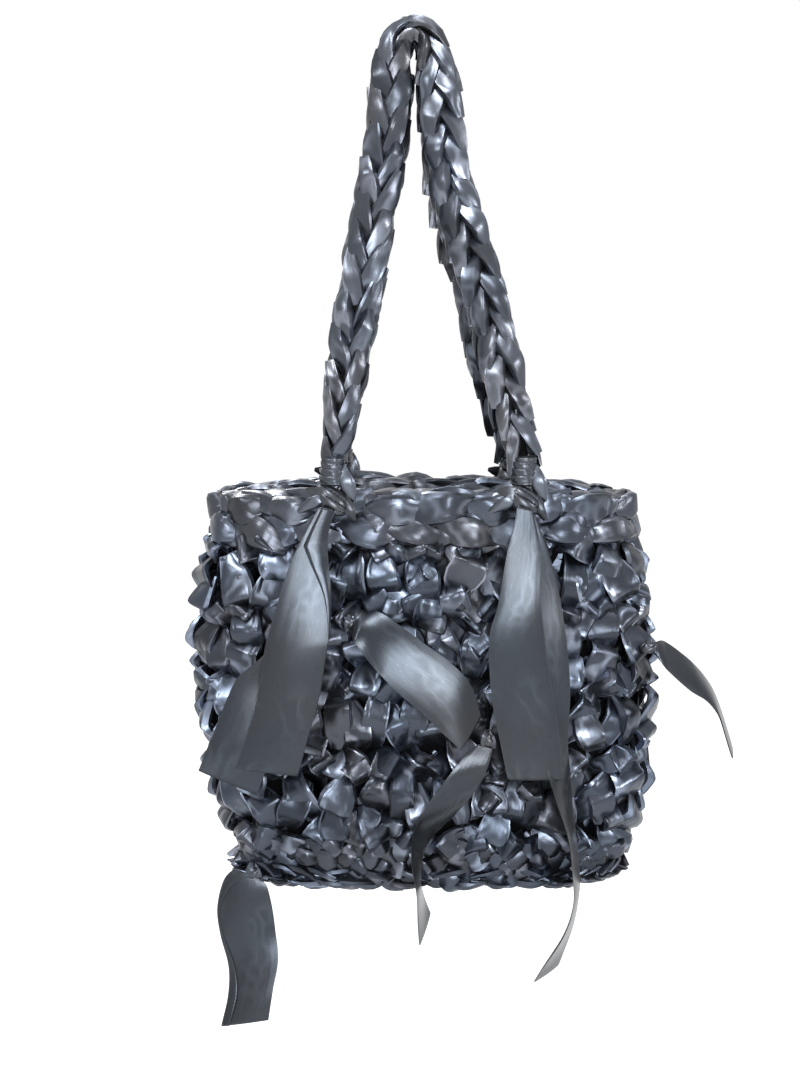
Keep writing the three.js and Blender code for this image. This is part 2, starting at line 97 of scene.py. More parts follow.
class Formula:
    """A number inside a node tree. Plain arithmetic on it adds Math nodes."""

    def __init__(self, graph: "NodeGraph", socket: bpy.types.NodeSocket) -> None:
        """Wraps a socket.

        Args:
            graph: The tree that the socket is in.
            socket: The output that carries the number.
        """
        self.graph = graph
        self.socket = socket

    def __add__(self, other: "Formula | float") -> "Formula":
        """The sum."""
        return self.graph.math("ADD", self, other)

    def __sub__(self, other: "Formula | float") -> "Formula":
        """The difference."""
        return self.graph.math("SUBTRACT", self, other)

    def __rsub__(self, other: float) -> "Formula":
        """The difference from a plain number."""
        return self.graph.math("SUBTRACT", other, self)

    def __mul__(self, other: "Formula | float") -> "Formula":
        """The product."""
        return self.graph.math("MULTIPLY", self, other)

    def __truediv__(self, other: "Formula | float") -> "Formula":
        """The quotient."""
        return self.graph.math("DIVIDE", self, other)

    def __pow__(self, power: "Formula | float") -> "Formula":
        """The power of a number that is zero or more."""
        return self.graph.math("POWER", self, power)

    __radd__ = __add__
    __rmul__ = __mul__

    def size(self) -> "Formula":
        """The number without its sign."""
        return self.graph.math("ABSOLUTE", self)

    def least(self, other: "Formula | float") -> "Formula":
        """The smaller of two numbers."""
        return self.graph.math("MINIMUM", self, other)

    def most(self, other: "Formula | float") -> "Formula":
        """The larger of two numbers."""
        return self.graph.math("MAXIMUM", self, other)

    def share(self) -> "Formula":
        """The number, kept from 0 to 1."""
        return self.most(0.0).least(1.0)

    def cosine(self) -> "Formula":
        """The cosine of an angle."""
        return self.graph.math("COSINE", self)

    def sine(self) -> "Formula":
        """The sine of an angle."""
        return self.graph.math("SINE", self)

    def sign(self) -> "Formula":
        """Minus one, zero or one, as the number's sign is."""
        return self.graph.math("SIGN", self)


class NodeGraph:
    """Builds one node tree."""

    def __init__(self, tree: bpy.types.NodeTree) -> None:
        """Starts on a tree."""
        self.tree = tree

    @classmethod
    def group(cls, name: str, kind: str, inputs: dict[str, str], outputs: dict[str, str]) -> "NodeGraph":
        """Makes a node group with named inputs and outputs.

        Args:
            name: The group's name.
            kind: The tree's type.
            inputs: Each input's socket type.
            outputs: Each output's socket type.

        Returns:
            The graph of the new group.
        """
        tree = bpy.data.node_groups.new(name, kind)
        for direction, sockets in (("INPUT", inputs), ("OUTPUT", outputs)):
            for label, socket_type in sockets.items():
                tree.interface.new_socket(label, in_out=direction, socket_type=socket_type)
        graph = cls(tree)
        graph.ins = tree.nodes.new("NodeGroupInput")
        graph.outs = tree.nodes.new("NodeGroupOutput")
        return graph

    @classmethod
    def blank(cls, owner: bpy.types.Material | bpy.types.World) -> "NodeGraph":
        """An empty graph for a material or a world."""
        owner.use_nodes = True
        owner.node_tree.nodes.clear()
        return cls(owner.node_tree)

    def feed(self, socket: bpy.types.NodeSocket, value: object) -> None:
        """Links a socket to another, or sets its value."""
        if isinstance(value, Formula):
            value = value.socket
        if isinstance(value, bpy.types.NodeSocket):
            self.tree.links.new(value, socket)
        else:
            socket.default_value = value

    def add(self, kind: str, inputs: dict[str, object] | None = None, **settings: object) -> bpy.types.Node:
        """Adds a node.

        Args:
            kind: The node's type.
            inputs: Values or sockets for its inputs, by name.
            settings: The node's own properties.

        Returns:
            The node.
        """
        node = self.tree.nodes.new(kind)
        for key, value in settings.items():
            setattr(node, key, value)
        for key, value in (inputs or {}).items():
            self.feed(node.inputs[key], value)
        return node

    def first(
        self, kind: str, inputs: dict[str, object] | None = None, **settings: object
    ) -> bpy.types.NodeSocket:
        """Adds a node in the same way and gives its first output."""
        return self.add(kind, inputs, **settings).outputs[0]

    def math(self, operation: str, *values: "Formula | float") -> Formula:
        """Adds a Math node with its inputs in order."""
        return Formula(self, self.first("ShaderNodeMath", dict(enumerate(values)), operation=operation))

    def vector(self, operation: str, *values: object) -> bpy.types.NodeSocket:
        """Adds a Vector Math node with its inputs in order."""
        keys = (0, "Scale") if operation == "SCALE" else (0, 1)
        return self.first("ShaderNodeVectorMath", dict(zip(keys, values)), operation=operation)

    def noise(self, place: bpy.types.NodeSocket, scale: float, detail: float) -> Formula:
        """Noise at a place, about a half."""
        inputs = {"Vector": place, "Scale": scale, "Detail": detail}
        return Formula(self, self.first("ShaderNodeTexNoise", inputs))

    def given(self, name: str) -> Formula:
        """A number that comes in through the group's input of that name."""
        return Formula(self, self.ins.outputs[name])

    def give(self, name: str, value: object) -> None:
        """Sends a value out through the group's output of that name."""
        self.feed(self.outs.inputs[name], value)

    def place_group(self, group: bpy.types.NodeTree, values: dict[str, object]) -> bpy.types.Node:
        """Adds a group, and feeds those of its inputs that the values name."""
        node = self.add(group.bl_idname.replace("Tree", "Group"), node_tree=group)
        for socket in node.inputs:
            if socket.name in values:
                self.feed(socket, values[socket.name])
        return node

    def named(self, name: str, kind: str) -> bpy.types.NodeSocket:
        """A value that the mesh carries at each point under a name."""
        return self.first("GeometryNodeInputNamedAttribute", {"Name": name}, data_type=kind)

    def split(self, vector: bpy.types.NodeSocket) -> tuple[Formula, Formula, Formula]:
        """A vector's three parts."""
        node = self.add("ShaderNodeSeparateXYZ", {"Vector": vector})
        return tuple(Formula(self, part) for part in node.outputs)

    def join(self, *parts: object) -> bpy.types.NodeSocket:
        """A vector from three parts."""
        return self.first("ShaderNodeCombineXYZ", dict(zip("XYZ", parts)))


def weave_group() -> bpy.types.NodeTree:
    """The relief of satin ribbon: fine floats, soft creases along it and the ridges of its wrinkles, and the
    painted highlights on them.

    Returns:
        A group from a place on the ribbon, in metres, and a shift of the pattern to a height in
        metres, a mask, and a painted highlight: pale streaks on some wrinkle crests and a pale line along the
            woven edge.
    """
    sizes = numbers("Thread Depth", "Crease Depth", "Wrinkle Depth", "Shift", "Edge Place")
    graph = NodeGraph.group(
        "satin_weave", "ShaderNodeTree", {"Place": VECTOR} | sizes, numbers("Height", "Mask", "Crest")
    )
    shift = graph.join(graph.given("Shift") * 0.37, graph.given("Shift") * 0.83, 0.0)
    place = graph.vector("ADD", graph.ins.outputs["Place"], shift)

    def streaks(across: float, along: float, detail: float) -> Formula:
        """Noise drawn out along the ribbon.

        Args:
            across: How many of its spots lie side by side in a metre of width.
            along: How many lie one after the other in a metre of length.
            detail: How many finer layers it has.

        Returns:
            Its value, about a half.
        """
        return graph.noise(graph.vector("MULTIPLY", place, (across, along, across)), 1.0, detail)

    threads = streaks(2400.0, 700.0, 1.0)
    creases = streaks(170.0, 26.0, 1.5)
    crest_softness = 0.03
    from_crest = streaks(95.0, 62.0, 0.6) - 0.5
    ridges = (from_crest * from_crest + crest_softness**2) ** 0.5
    height = threads * graph.given("Thread Depth") + creases * graph.given("Crease Depth")
    graph.give("Height", height - ridges * graph.given("Wrinkle Depth"))
    # Painted highlight: pale streaks on some wrinkle crests and a pale line along the woven edge, which
    # lighten the colour.
    crest_reach, patch_start, patch_gain = 0.11, 0.46, 6.0
    edge_width, edge_shine = 0.0005, 0.7
    crest_highlight = ((crest_reach - ridges) / (crest_reach - crest_softness)).most(0.0)
    highlight_patches = ((streaks(34.0, 22.0, 0.0) - patch_start) * patch_gain).share()
    across = graph.split(graph.ins.outputs["Place"])[0].size()
    edge_highlight = ((across - graph.given("Edge Place")) / edge_width).share()
    graph.give("Crest", (crest_highlight * highlight_patches).most(edge_highlight * edge_shine))
    graph.give("Mask", streaks(900.0, 220.0, 2.0))
    return graph.tree


def tone_group() -> bpy.types.NodeTree:
    """How a ribbon's colour drifts: each lobe a little lighter or darker, cool or warm, with painted
    highlights on its crests and woven edges.

    Returns:
        A group from a shade, a place and a painted highlight to a colour.
    """
    inputs = {"Place": VECTOR, "Cool": COLOUR, "Warm": COLOUR}
    inputs |= numbers("Shade", "Spread", "Crest", "Crest Gain")
    graph = NodeGraph.group("satin_tone", "ShaderNodeTree", inputs, {"Color": COLOUR})
    drift_scale, drift_gain, drift_start = 14.0, 3.0, -1.2
    shade_turns, shade_gain, darkest = 11.0, 0.4, 0.1
    drift = graph.noise(graph.ins.outputs["Place"], drift_scale, 1.0)
    warmth = graph.math("MULTIPLY_ADD", drift, drift_gain, drift_start)
    warmth = warmth + (graph.given("Shade") * shade_turns).sine() * shade_gain
    mixed = graph.add("ShaderNodeMix", {"Factor": warmth.share()}, data_type="RGBA")
    colours = [socket for socket in mixed.inputs if socket.type == "RGBA"]
    for socket, name in zip(colours, ("Cool", "Warm")):
        graph.feed(socket, graph.ins.outputs[name])
    result = next(socket for socket in mixed.outputs if socket.type == "RGBA")
    level = (1.0 + graph.given("Shade") * graph.given("Spread")).most(darkest)
    # Painted highlight: the colour is lightened on the crests and woven edges.
    level = level * (1.0 + graph.given("Crest") * graph.given("Crest Gain"))
    graph.give("Color", graph.vector("SCALE", result, level))
    return graph.tree


@dataclass(frozen=True)
class SatinFinish:
    """A satin of the ribbon, as it shows on one kind of piece.

    The depths are those of its relief, in metres, and the edge place is how far from the ribbon's
    middle its woven edge starts. Spread is how far its bands differ in lightness. The painted highlight
    gain is how much the painted highlights on crests and woven edges lighten its colour.
    """

    name: str
    cool: tuple[float, float, float]
    warm: tuple[float, float, float]
    metallic: float
    roughness: float
    crease_depth: float
    wrinkle_depth: float = 0.0
    crest_gain: float = 0.0
    edge_place: float = 1.0
    thread_depth: float = 0.000012
    specular: float = 0.5
    sheen: float = 0.03
    spread: float = 0.42
    roughness_drift: float = 0.06

    def material(self, weave: bpy.types.NodeTree, tone: bpy.types.NodeTree) -> bpy.types.Material:
        """Builds the material.

        Args:
            weave: The group of the ribbon's relief.
            tone: The group of the colour's drift.

        Returns:
            The material.
        """
        material = bpy.data.materials.new(self.name)
        graph = NodeGraph.blank(material)
        shade = graph.add("ShaderNodeAttribute", attribute_name=SHADE).outputs["Fac"]
        place = graph.add("ShaderNodeAttribute", attribute_name=PLACE).outputs["Vector"]
        spot = graph.add("ShaderNodeTexCoord").outputs["Object"]
        values = labelled(self) | {"Shade": shade, "Shift": shade}
        values |= {"Cool": (*self.cool, 1), "Warm": (*self.warm, 1)}
        relief = graph.place_group(weave, values | {"Place": place}).outputs
        colour = graph.place_group(tone, values | {"Place": spot, "Crest": relief["Crest"]})
        drift = (Formula(graph, relief["Mask"]) - 0.5) * (2 * self.roughness_drift)
        shader = {
            "Base Color": colour.outputs["Color"],
            "Metallic": self.metallic,
            "Roughness": self.roughness + drift,
            "Normal": graph.first("ShaderNodeBump", {"Height": relief["Height"], "Distance": 1.0}),
            "Specular IOR Level": self.specular,
            "Sheen Weight": self.sheen,
            "Sheen Roughness": 0.4,
        }
        graph.add("ShaderNodeOutputMaterial", {"Surface": graph.first("ShaderNodeBsdfPrincipled", shader)})
        return material


CROCHET_SATIN = SatinFinish(
    name="crocheted satin",
    cool=(0.045, 0.054, 0.071),
    warm=(0.051, 0.054, 0.064),
    metallic=0.94,
    roughness=0.31,
    crease_depth=0.0005,
    wrinkle_depth=0.0026,
    crest_gain=3.0,
    edge_place=0.0077,
)
RIM_SATIN = SatinFinish(
    name="rim satin",
    cool=(0.06, 0.07, 0.09),
    warm=(0.067, 0.07, 0.081),
    metallic=0.94,
    roughness=0.31,
    crease_depth=0.0005,
    wrinkle_depth=0.0019,
    crest_gain=1.6,
    edge_place=0.0091,
)
PLAITED_SATIN = SatinFinish(
    name="plaited satin",
    cool=(0.076, 0.086, 0.106),
    warm=(0.083, 0.085, 0.096),
    metallic=0.94,
    roughness=0.31,
    crease_depth=0.0005,
    wrinkle_depth=0.0015,
    crest_gain=1.6,
    edge_place=0.0065,
)
BOUND_SATIN = SatinFinish(
    name="bound satin",
    cool=(0.056, 0.063, 0.076),
    warm=(0.063, 0.064, 0.07),
    metallic=0.92,
    roughness=0.31,
    crease_depth=0.0007,
    wrinkle_depth=0.0006,
    crest_gain=0.8,
)
LOOSE_SATIN = SatinFinish(
    name="loose satin",
    cool=(0.04, 0.046, 0.055),
    warm=(0.044, 0.046, 0.051),
    metallic=0.92,
    roughness=0.29,
    crease_depth=0.0001,
    wrinkle_depth=0.0001,
    crest_gain=0.35,
    edge_place=0.0183,
    thread_depth=0.000014,
    spread=0.2,
    roughness_drift=0.05,
)
# A near-black finish for the cores inside the bands: painted shade in the slits between them.
PAINTED_SHADE_SATIN = SatinFinish(
    name="shaded satin",
    cool=(0.005, 0.005, 0.006),
    warm=(0.005, 0.005, 0.005),
    metallic=0.0,
    roughness=0.85,
    crease_depth=0.0004,
    specular=0.08,
    sheen=0.0,
)
SATINS = (CROCHET_SATIN, RIM_SATIN, PLAITED_SATIN, BOUND_SATIN, LOOSE_SATIN, PAINTED_SHADE_SATIN)


def new_object(name: str, data: object = None) -> bpy.types.Object:
    """A new object at the origin, linked to the scene."""
    thing = bpy.data.objects.new(name, data)
    bpy.context.scene.collection.objects.link(thing)
    return thing


def new_mesh(name: str, points: Sequence[Vector], faces: Sequence[tuple[int, ...]]) -> bpy.types.Mesh:
    """A mesh from points and the corners of its faces."""
    mesh = bpy.data.meshes.new(name)
    mesh.from_pydata([tuple(point) for point in points], [], faces)
    return mesh


def grid_faces(
    rows: int, columns: int, hoop: bool = False, tube: bool = False, first: int = 0
) -> list[tuple[int, ...]]:
    """The faces between rows of points.

    Args:
        rows: How many rows there are.
        columns: How many points each of them has.
        hoop: Whether the last row joins the first.
        tube: Whether each row's last point joins its first. Where the rows are no hoop, both ends are capped.
        first: The number of the first point.

    Returns:
        The corners of each face.
    """
    faces = []
    for row in range(rows if hoop else rows - 1):
        here, after = first + row * columns, first + (row + 1) % rows * columns
        for column in range(columns if tube else columns - 1):
            beside = (column + 1) % columns
            faces.append((here + column, here + beside, after + beside, after + column))
    if tube and not hoop:
        last = first + (rows - 1) * columns
        faces.append(tuple(reversed(range(first, first + columns))))
        faces.append(tuple(range(last, last + columns)))
    return faces


def curve_point(points: Sequence[Vector], index: int, share: float) -> Vector:
    """A point of the smooth path through points.

    Args:
        points: The points that it goes through.
        index: The one that it has last gone through.
        share: How far it is from there to the next.

    Returns:
        The point.
    """
    padded = [2 * points[0] - points[1], *points, 2 * points[-1] - points[-2]]
    before, start, end, after = padded[index : index + 4]
    slope = end - before
    bend = 2 * before - 5 * start + 4 * end - after
    swing = 3 * start - before - 3 * end + after
    return 0.5 * (2 * start + slope * share + bend * share**2 + swing * share**3)


def smooth_path(points: Sequence[Vector], count: int) -> list[Vector]:
    """A smooth path through points, at even steps along it.

    Args:
        points: The points that it goes through.
        count: How many points come back.

    Returns:
        The points of the path.
    """
    fine = 24
    legs = range(len(points) - 1)
    dense = [curve_point(points, leg, step / fine) for leg in legs for step in range(fine)]
    dense.append(points[-1])
    lengths = np.cumsum([0.0] + [(b - a).length for a, b in zip(dense, dense[1:])])
    table = np.array([tuple(point) for point in dense])
    at = np.linspace(0, lengths[-1], count)
    return [Vector([float(np.interp(x, lengths, table[:, axis])) for axis in range(3)]) for x in at]


def even_rows(points: Sequence[Vector], count: int) -> list[Vector]:
    """A smooth path through points in which each point keeps its own share of the way.

    Args:
        points: The points that it goes through.
        count: How many points come back.

    Returns:
        The points of the path.
    """
    path = []
    for step in range(count):
        place = step / (count - 1) * (len(points) - 1)
        index = min(int(place), len(points) - 2)
        path.append(curve_point(points, index, place - index))
    return path


def path_length(points: Sequence[Vector]) -> float:
    """The length of a path through points."""
    return sum((b - a).length for a, b in zip(points, points[1:]))


def full_oval(half_width: float, half_depth: float, angle: object) -> tuple[object, object]:
    """The points of an oval as full at its corners as the bag's plan.

    Args:
        half_width: Half its width.
        half_depth: Half its depth.
        angle: The angle of a point, or an array of them.

    Returns:
        Each point's place to the right and to the back.
    """
    power = 2 / CORNER_POWER
    x, y = np.cos(angle), np.sin(angle)
    return half_width * np.sign(x) * np.abs(x) ** power, half_depth * np.sign(y) * np.abs(y) ** power


def turns_round(count: int) -> list[float]:
    """Angles at even steps round a circle."""
    return [2 * math.pi * step / count for step in range(count)]


@dataclass(frozen=True)
class WallPlace:
    """A place on the wall, with the directions out of it, up it and across it."""

    point: Vector
    outward: Vector
    up: Vector
    across: Vector


class WallShape:
    """The plan of the crocheted wall at each height, from the frame's rounds."""

    SAMPLES = 360

    def __init__(self, swells: dict[str, float]) -> None:
        """Reads the rounds' boxes.

        Args:
            swells: The rounds from the base up, and how far each one's stitches stand out of the plan.
        """
        rows = []
        for node, swell in swells.items():
            low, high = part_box(node)
            rows.append(
                (
                    (low.z + high.z) / 2,
                    (low.x + high.x) / 2,
                    (high.x - low.x) / 2 - swell,
                    (high.y - low.y) / 2 - swell,
                )
            )
        self.heights, self.centres, self.half_widths, self.half_depths = (np.array(c) for c in zip(*rows))
        self.outlines: dict[float, tuple[np.ndarray, np.ndarray]] = {}

    def outline(self, height: float) -> tuple[np.ndarray, np.ndarray]:
        """The plan's points at a height and the length run to each, as a share of the whole."""
        key = round(height, 4)
        if key not in self.outlines:
            angle = np.linspace(0, 2 * math.pi, self.SAMPLES + 1)
            half_width = np.interp(key, self.heights, self.half_widths)
            half_depth = np.interp(key, self.heights, self.half_depths)
            centre = np.interp(key, self.heights, self.centres)
            x, y = full_oval(half_width, half_depth, angle)
            run = np.concatenate([[0.0], np.cumsum(np.hypot(np.diff(x), np.diff(y)))])
            self.outlines[key] = (np.stack([centre + x, y], axis=1), run / run[-1])
        return self.outlines[key]

    def perimeter(self, height: float) -> float:
        """The length of the plan at a height."""
        points, _ = self.outline(height)
        return float(np.hypot(*np.diff(points, axis=0).T).sum())

    def point(self, share: float, height: float) -> Vector:
        """The plan's point at a share of the way round, from the right side by the back to the front."""
        points, shares = self.outline(height)
        return Vector([float(np.interp(share % 1, shares, points[:, axis])) for axis in range(2)] + [height])

    def tightness(self, share: float, height: float) -> float:
        """How sharply the plan turns at a place, from 0 on its straights to 1 at its corners."""
        step, most = 0.022, 0.9
        before, after = (self.place(share + side * step, height).outward for side in (-1, 1))
        return min(before.angle(after) / most, 1)

    def place(self, share: float, height: float) -> WallPlace:
        """The place on the wall at a share of the way round and a height."""
        step, rise = 0.004, 0.01
        forward = self.point(share + step, height) - self.point(share - step, height)
        outward = forward.cross(UP).normalized()
        up = (self.point(share, height + rise) - self.point(share, height - rise)).normalized()
        outward = (outward - up * outward.dot(up)).normalized()
        return WallPlace(self.point(share, height), outward, up, up.cross(outward))


@dataclass(frozen=True)
class LobeForm:
    """One way that a band of folded ribbon can bend over.

    The twist is in radians from its middle to its end. Knee is where along it the band bends over, and
    softness how round that bend is. Crease is where across it the fold stands, and ridge how high, as a
    share of the band's width. Lip is how far its edges turn up. Pinch is how wide its tucked end stays,
    flare how wide its folded end does, leaf how soon it narrows to them, and bend how far they swing
    sideways.
    """

    twist: float
    knee: float
    softness: float
    crease: float
    ridge: float
    lip: float
    pinch: float
    flare: float
    leaf: float
    bend: float


# Twist, knee, softness, crease, ridge, lip, pinch, flare, leaf and bend.
PAD_FORMS = (
    LobeForm(0.15, 0.45, 0.25, 0.3, 0.07, 0.08, 0.5, 0.8, 2.0, 0.0),
    LobeForm(0.4, 0.35, 0.25, -0.5, 0.12, 0.15, 0.42, 0.75, 1.8, 0.1),
    LobeForm(-0.4, 0.4, 0.25, 0.5, 0.12, 0.12, 0.4, 0.8, 1.8, -0.1),
    LobeForm(0.1, 0.15, 0.45, 0.0, 0.02, 0.3, 0.55, 0.7, 2.2, 0.05),
    LobeForm(-0.3, 0.5, 0.2, 0.65, 0.14, 0.0, 0.5, 0.85, 1.6, 0.1),
    LobeForm(0.35, 0.25, 0.35, -0.6, 0.16, 0.0, 0.45, 0.7, 2.0, -0.12),
    LobeForm(0.25, 0.45, 0.25, 0.1, 0.0, 0.35, 0.42, 0.85, 1.8, 0.0),
    LobeForm(-0.35, 0.1, 0.4, -0.2, 0.02, 0.25, 0.6, 0.65, 2.4, 0.0),
)
LEAF_FORMS = (
    LobeForm(0.2, 0.2, 0.55, 0.25, 0.14, 0.0, 0.28, 0.45, 1.8, 0.0),
    LobeForm(-0.35, 0.3, 0.4, -0.4, 0.18, 0.12, 0.26, 0.42, 1.6, 0.1),
    LobeForm(0.35, 0.35, 0.35, 0.45, 0.18, 0.1, 0.26, 0.48, 1.6, -0.1),
    LobeForm(-0.15, 0.1, 0.75, 0.0, 0.05, 0.25, 0.3, 0.38, 2.0, 0.06),
)
LOBE_FORMS = PAD_FORMS + LEAF_FORMS
PADS = tuple(range(len(PAD_FORMS)))
LEAVES = tuple(range(len(PAD_FORMS), len(LOBE_FORMS)))
BAND_SIZES = ("Length", "Width", "Bulge", "Edge", "Filling")


class LobeTrees:
    """The node trees that shape bands of ribbon, set them along a guide and lay them on a route."""

    SIDES = 10
    STEPS = 8
    END_CROWDING = 1.6
    EDGE_FULLNESS = 0.65
    SHOULDER_SLOPE = 1.7
    CREST_FALL = 1.5
    CRISP_ANGLE = 0.6

    def __init__(self) -> None:
        """Builds the trees."""
        self.lobe = self.lobe_tree()
        self.cluster = self.cluster_tree()
        self.route = self.route_tree()

    def lobe_tree(self) -> bpy.types.NodeTree:
        """One band of folded ribbon, bent over a knee, with its ends drawn in.

        Returns:
            The group. The band runs along Y, lies across X and bulges along Z.
        """
        labels = [*BAND_SIZES, *(entry.name.title() for entry in fields(LobeForm))]
        graph = NodeGraph.group("ribbon_lobe", "GeometryNodeTree", numbers(*labels), SHAPE)
        length, width, bulge, edge, filling, *form = (graph.given(label) for label in labels)
        twist, knee, softness, crease, ridge, lip, pinch, flare, leaf, bend = form
        size = {"Vertices": self.SIDES, "Side Segments": self.STEPS, "Radius": 1.0, "Depth": 2.0}
        tube = graph.first("GeometryNodeMeshCylinder", size, fill_type="NGON")
        spread, face, step = graph.split(graph.first("GeometryNodeInputPosition"))
        past = step.sign() * step.size() ** self.END_CROWDING
        along = knee + past * (1.0 - knee * step.sign())
        narrowing = along.size().least(1.0) ** leaf
        folded = (along.sign() + 1.0) * 0.5
        end_share = pinch + (flare - pinch) * folded
        half = width * 0.5 * (1.0 - (1.0 - end_share) * narrowing)
        across = spread.sign() * spread.size() ** self.EDGE_FULLNESS * half
        from_crease = spread - crease
        slope = from_crease / (1.0 - crease * from_crease.sign())
        shoulder = (face * self.SHOULDER_SLOPE).least(1.0).most(-1.0)
        crest = shoulder.most(0.0) * (1.0 - slope.size() ** self.CREST_FALL)
        stand = shoulder * edge + crest * ridge * half * 2.0 + (spread * spread) ** 2.0 * lip * half
        root = (past * past + softness * softness) ** 0.5 - softness
        span = (softness * softness + 1.0) ** 0.5 - softness
        arch = bulge * (1.0 - root / span) * (1.0 - filling * (1.0 - shoulder) * 0.5)
        turn = twist * along
        x = across * turn.cosine() + stand * turn.sine() + bend * width * along * along
        y = length * along * 0.5
        z = arch + stand * turn.cosine() - across * turn.sine()
        place = {"Geometry": tube, "Name": PLACE, "Value": graph.join(spread * width * 0.5, y, 0.0)}
        kind = {"data_type": "FLOAT_VECTOR", "domain": "POINT"}
        stored = graph.first("GeometryNodeStoreNamedAttribute", place, **kind)
        shaped = {"Geometry": stored, "Position": graph.join(x, y, z)}
        graph.give("Geometry", graph.first("GeometryNodeSetPosition", shaped))
        return graph.tree

    def cluster_tree(self) -> bpy.types.NodeTree:
        """Bands set on the points of a guide, each turned and stretched as its point says.

        Returns:
            The tree, with the bands' sizes, their crumple, a seed and a material as named inputs.
        """
        inputs = SHAPE | numbers(*BAND_SIZES, "Crumple", "Crumple Scale", "Seed")
        inputs |= {"Material": MATERIAL, "Core Material": MATERIAL}
        graph = NodeGraph.group("ribbon_cluster", "GeometryNodeTree", inputs, SHAPE)
        sizes = {key: graph.given(key) for key in BAND_SIZES}
        forms = graph.add("GeometryNodeJoinGeometry")
        # The join numbers its last link first.
        for form in reversed(LOBE_FORMS):
            lobe = graph.place_group(self.lobe, sizes | labelled(form)).outputs[0]
            graph.feed(forms.inputs[0], graph.first("GeometryNodeGeometryToInstance", {"Geometry": lobe}))
        form_number = graph.named("form", "INT")
        is_core = graph.math("LESS_THAN", Formula(graph, form_number), 0.0)
        parts = {"Geometry": graph.ins.outputs["Geometry"], "Selection": is_core}
        parted = graph.add("GeometryNodeSeparateGeometry", parts, domain="POINT").outputs
        turn = {"Euler": graph.named("turn", "FLOAT_VECTOR")}
        placed = graph.first(
            "GeometryNodeInstanceOnPoints",
            {
                "Points": parted["Inverted"],
                "Instance": forms.outputs[0],
                "Pick Instance": True,
                "Instance Index": form_number,
                "Rotation": graph.first("FunctionNodeEulerToRotation", turn),
                "Scale": graph.named("stretch", "FLOAT_VECTOR"),
            },
        )
        realized = graph.first("GeometryNodeRealizeInstances", {"Geometry": placed})
        noise = {"W": graph.given("Seed"), "Scale": graph.given("Crumple Scale"), "Detail": 1.0}
        spots = graph.add("ShaderNodeTexNoise", noise, noise_dimensions="4D").outputs["Color"]
        centred = graph.vector("SUBTRACT", spots, (0.5, 0.5, 0.5))
        offset = graph.vector("SCALE", centred, graph.given("Crumple") * 4.0)
        crumpled = graph.first("GeometryNodeSetPosition", {"Geometry": realized, "Offset": offset})
        whole = graph.add("GeometryNodeJoinGeometry")
        for part, label in ((parted["Selection"], "Core Material"), (crumpled, "Material")):
            dressed = {"Geometry": part, "Material": graph.ins.outputs[label]}
            graph.feed(whole.inputs[0], graph.first("GeometryNodeSetMaterial", dressed))
        smooth = graph.first("GeometryNodeSetShadeSmooth", {"Geometry": whole.outputs[0]})
        angle = Formula(graph, graph.first("GeometryNodeInputMeshEdgeAngle"))
        sharp = graph.math("GREATER_THAN", angle, self.CRISP_ANGLE)
        crisp = {"Geometry": smooth, "Selection": sharp, "Shade Smooth": False}
        graph.give("Geometry", graph.first("GeometryNodeSetShadeSmooth", crisp, domain="EDGE"))
        return graph.tree

    @staticmethod
    def route_tree() -> bpy.types.NodeTree:
        """Lays a straight piece along a route, and draws it in round the route's middle.

        Returns:
            The tree. Y runs along the route, X lies across it and Z faces the front.
        """
        inputs = SHAPE | {"Route": "NodeSocketObject"} | numbers("Middle", "Middle Share", "Middle Reach")
        graph = NodeGraph.group("lay_on_route", "GeometryNodeTree", inputs, SHAPE)
        named = {"Object": graph.ins.outputs["Route"]}
        route = graph.add("GeometryNodeObjectInfo", named, transform_space="ORIGINAL").outputs["Geometry"]
        across, along, out = graph.split(graph.first("GeometryNodeInputPosition"))
        spot = {"Curves": route, "Length": along}
        sample = graph.add("GeometryNodeSampleCurve", spot, mode="LENGTH", use_all_curves=True).outputs
        run = sample["Tangent"]
        front = (0.0, -1.0, 0.0)
        sideways = graph.vector("NORMALIZE", graph.vector("CROSS_PRODUCT", run, front))
        facing = graph.vector("CROSS_PRODUCT", sideways, run)
        away = (along - graph.given("Middle")) / graph.given("Middle Reach")
        near = graph.math("EXPONENT", 0.0 - away * away)
        size = 1.0 - (1.0 - graph.given("Middle Share")) * near
        reach = graph.vector("SCALE", sideways, across * size)
        lift = graph.vector("SCALE", facing, out * size)
        placed = graph.vector("ADD", sample["Position"], graph.vector("ADD", reach, lift))
        laid = {"Geometry": graph.ins.outputs["Geometry"], "Position": placed}
        graph.give("Geometry", graph.first("GeometryNodeSetPosition", laid))
        return graph.tree


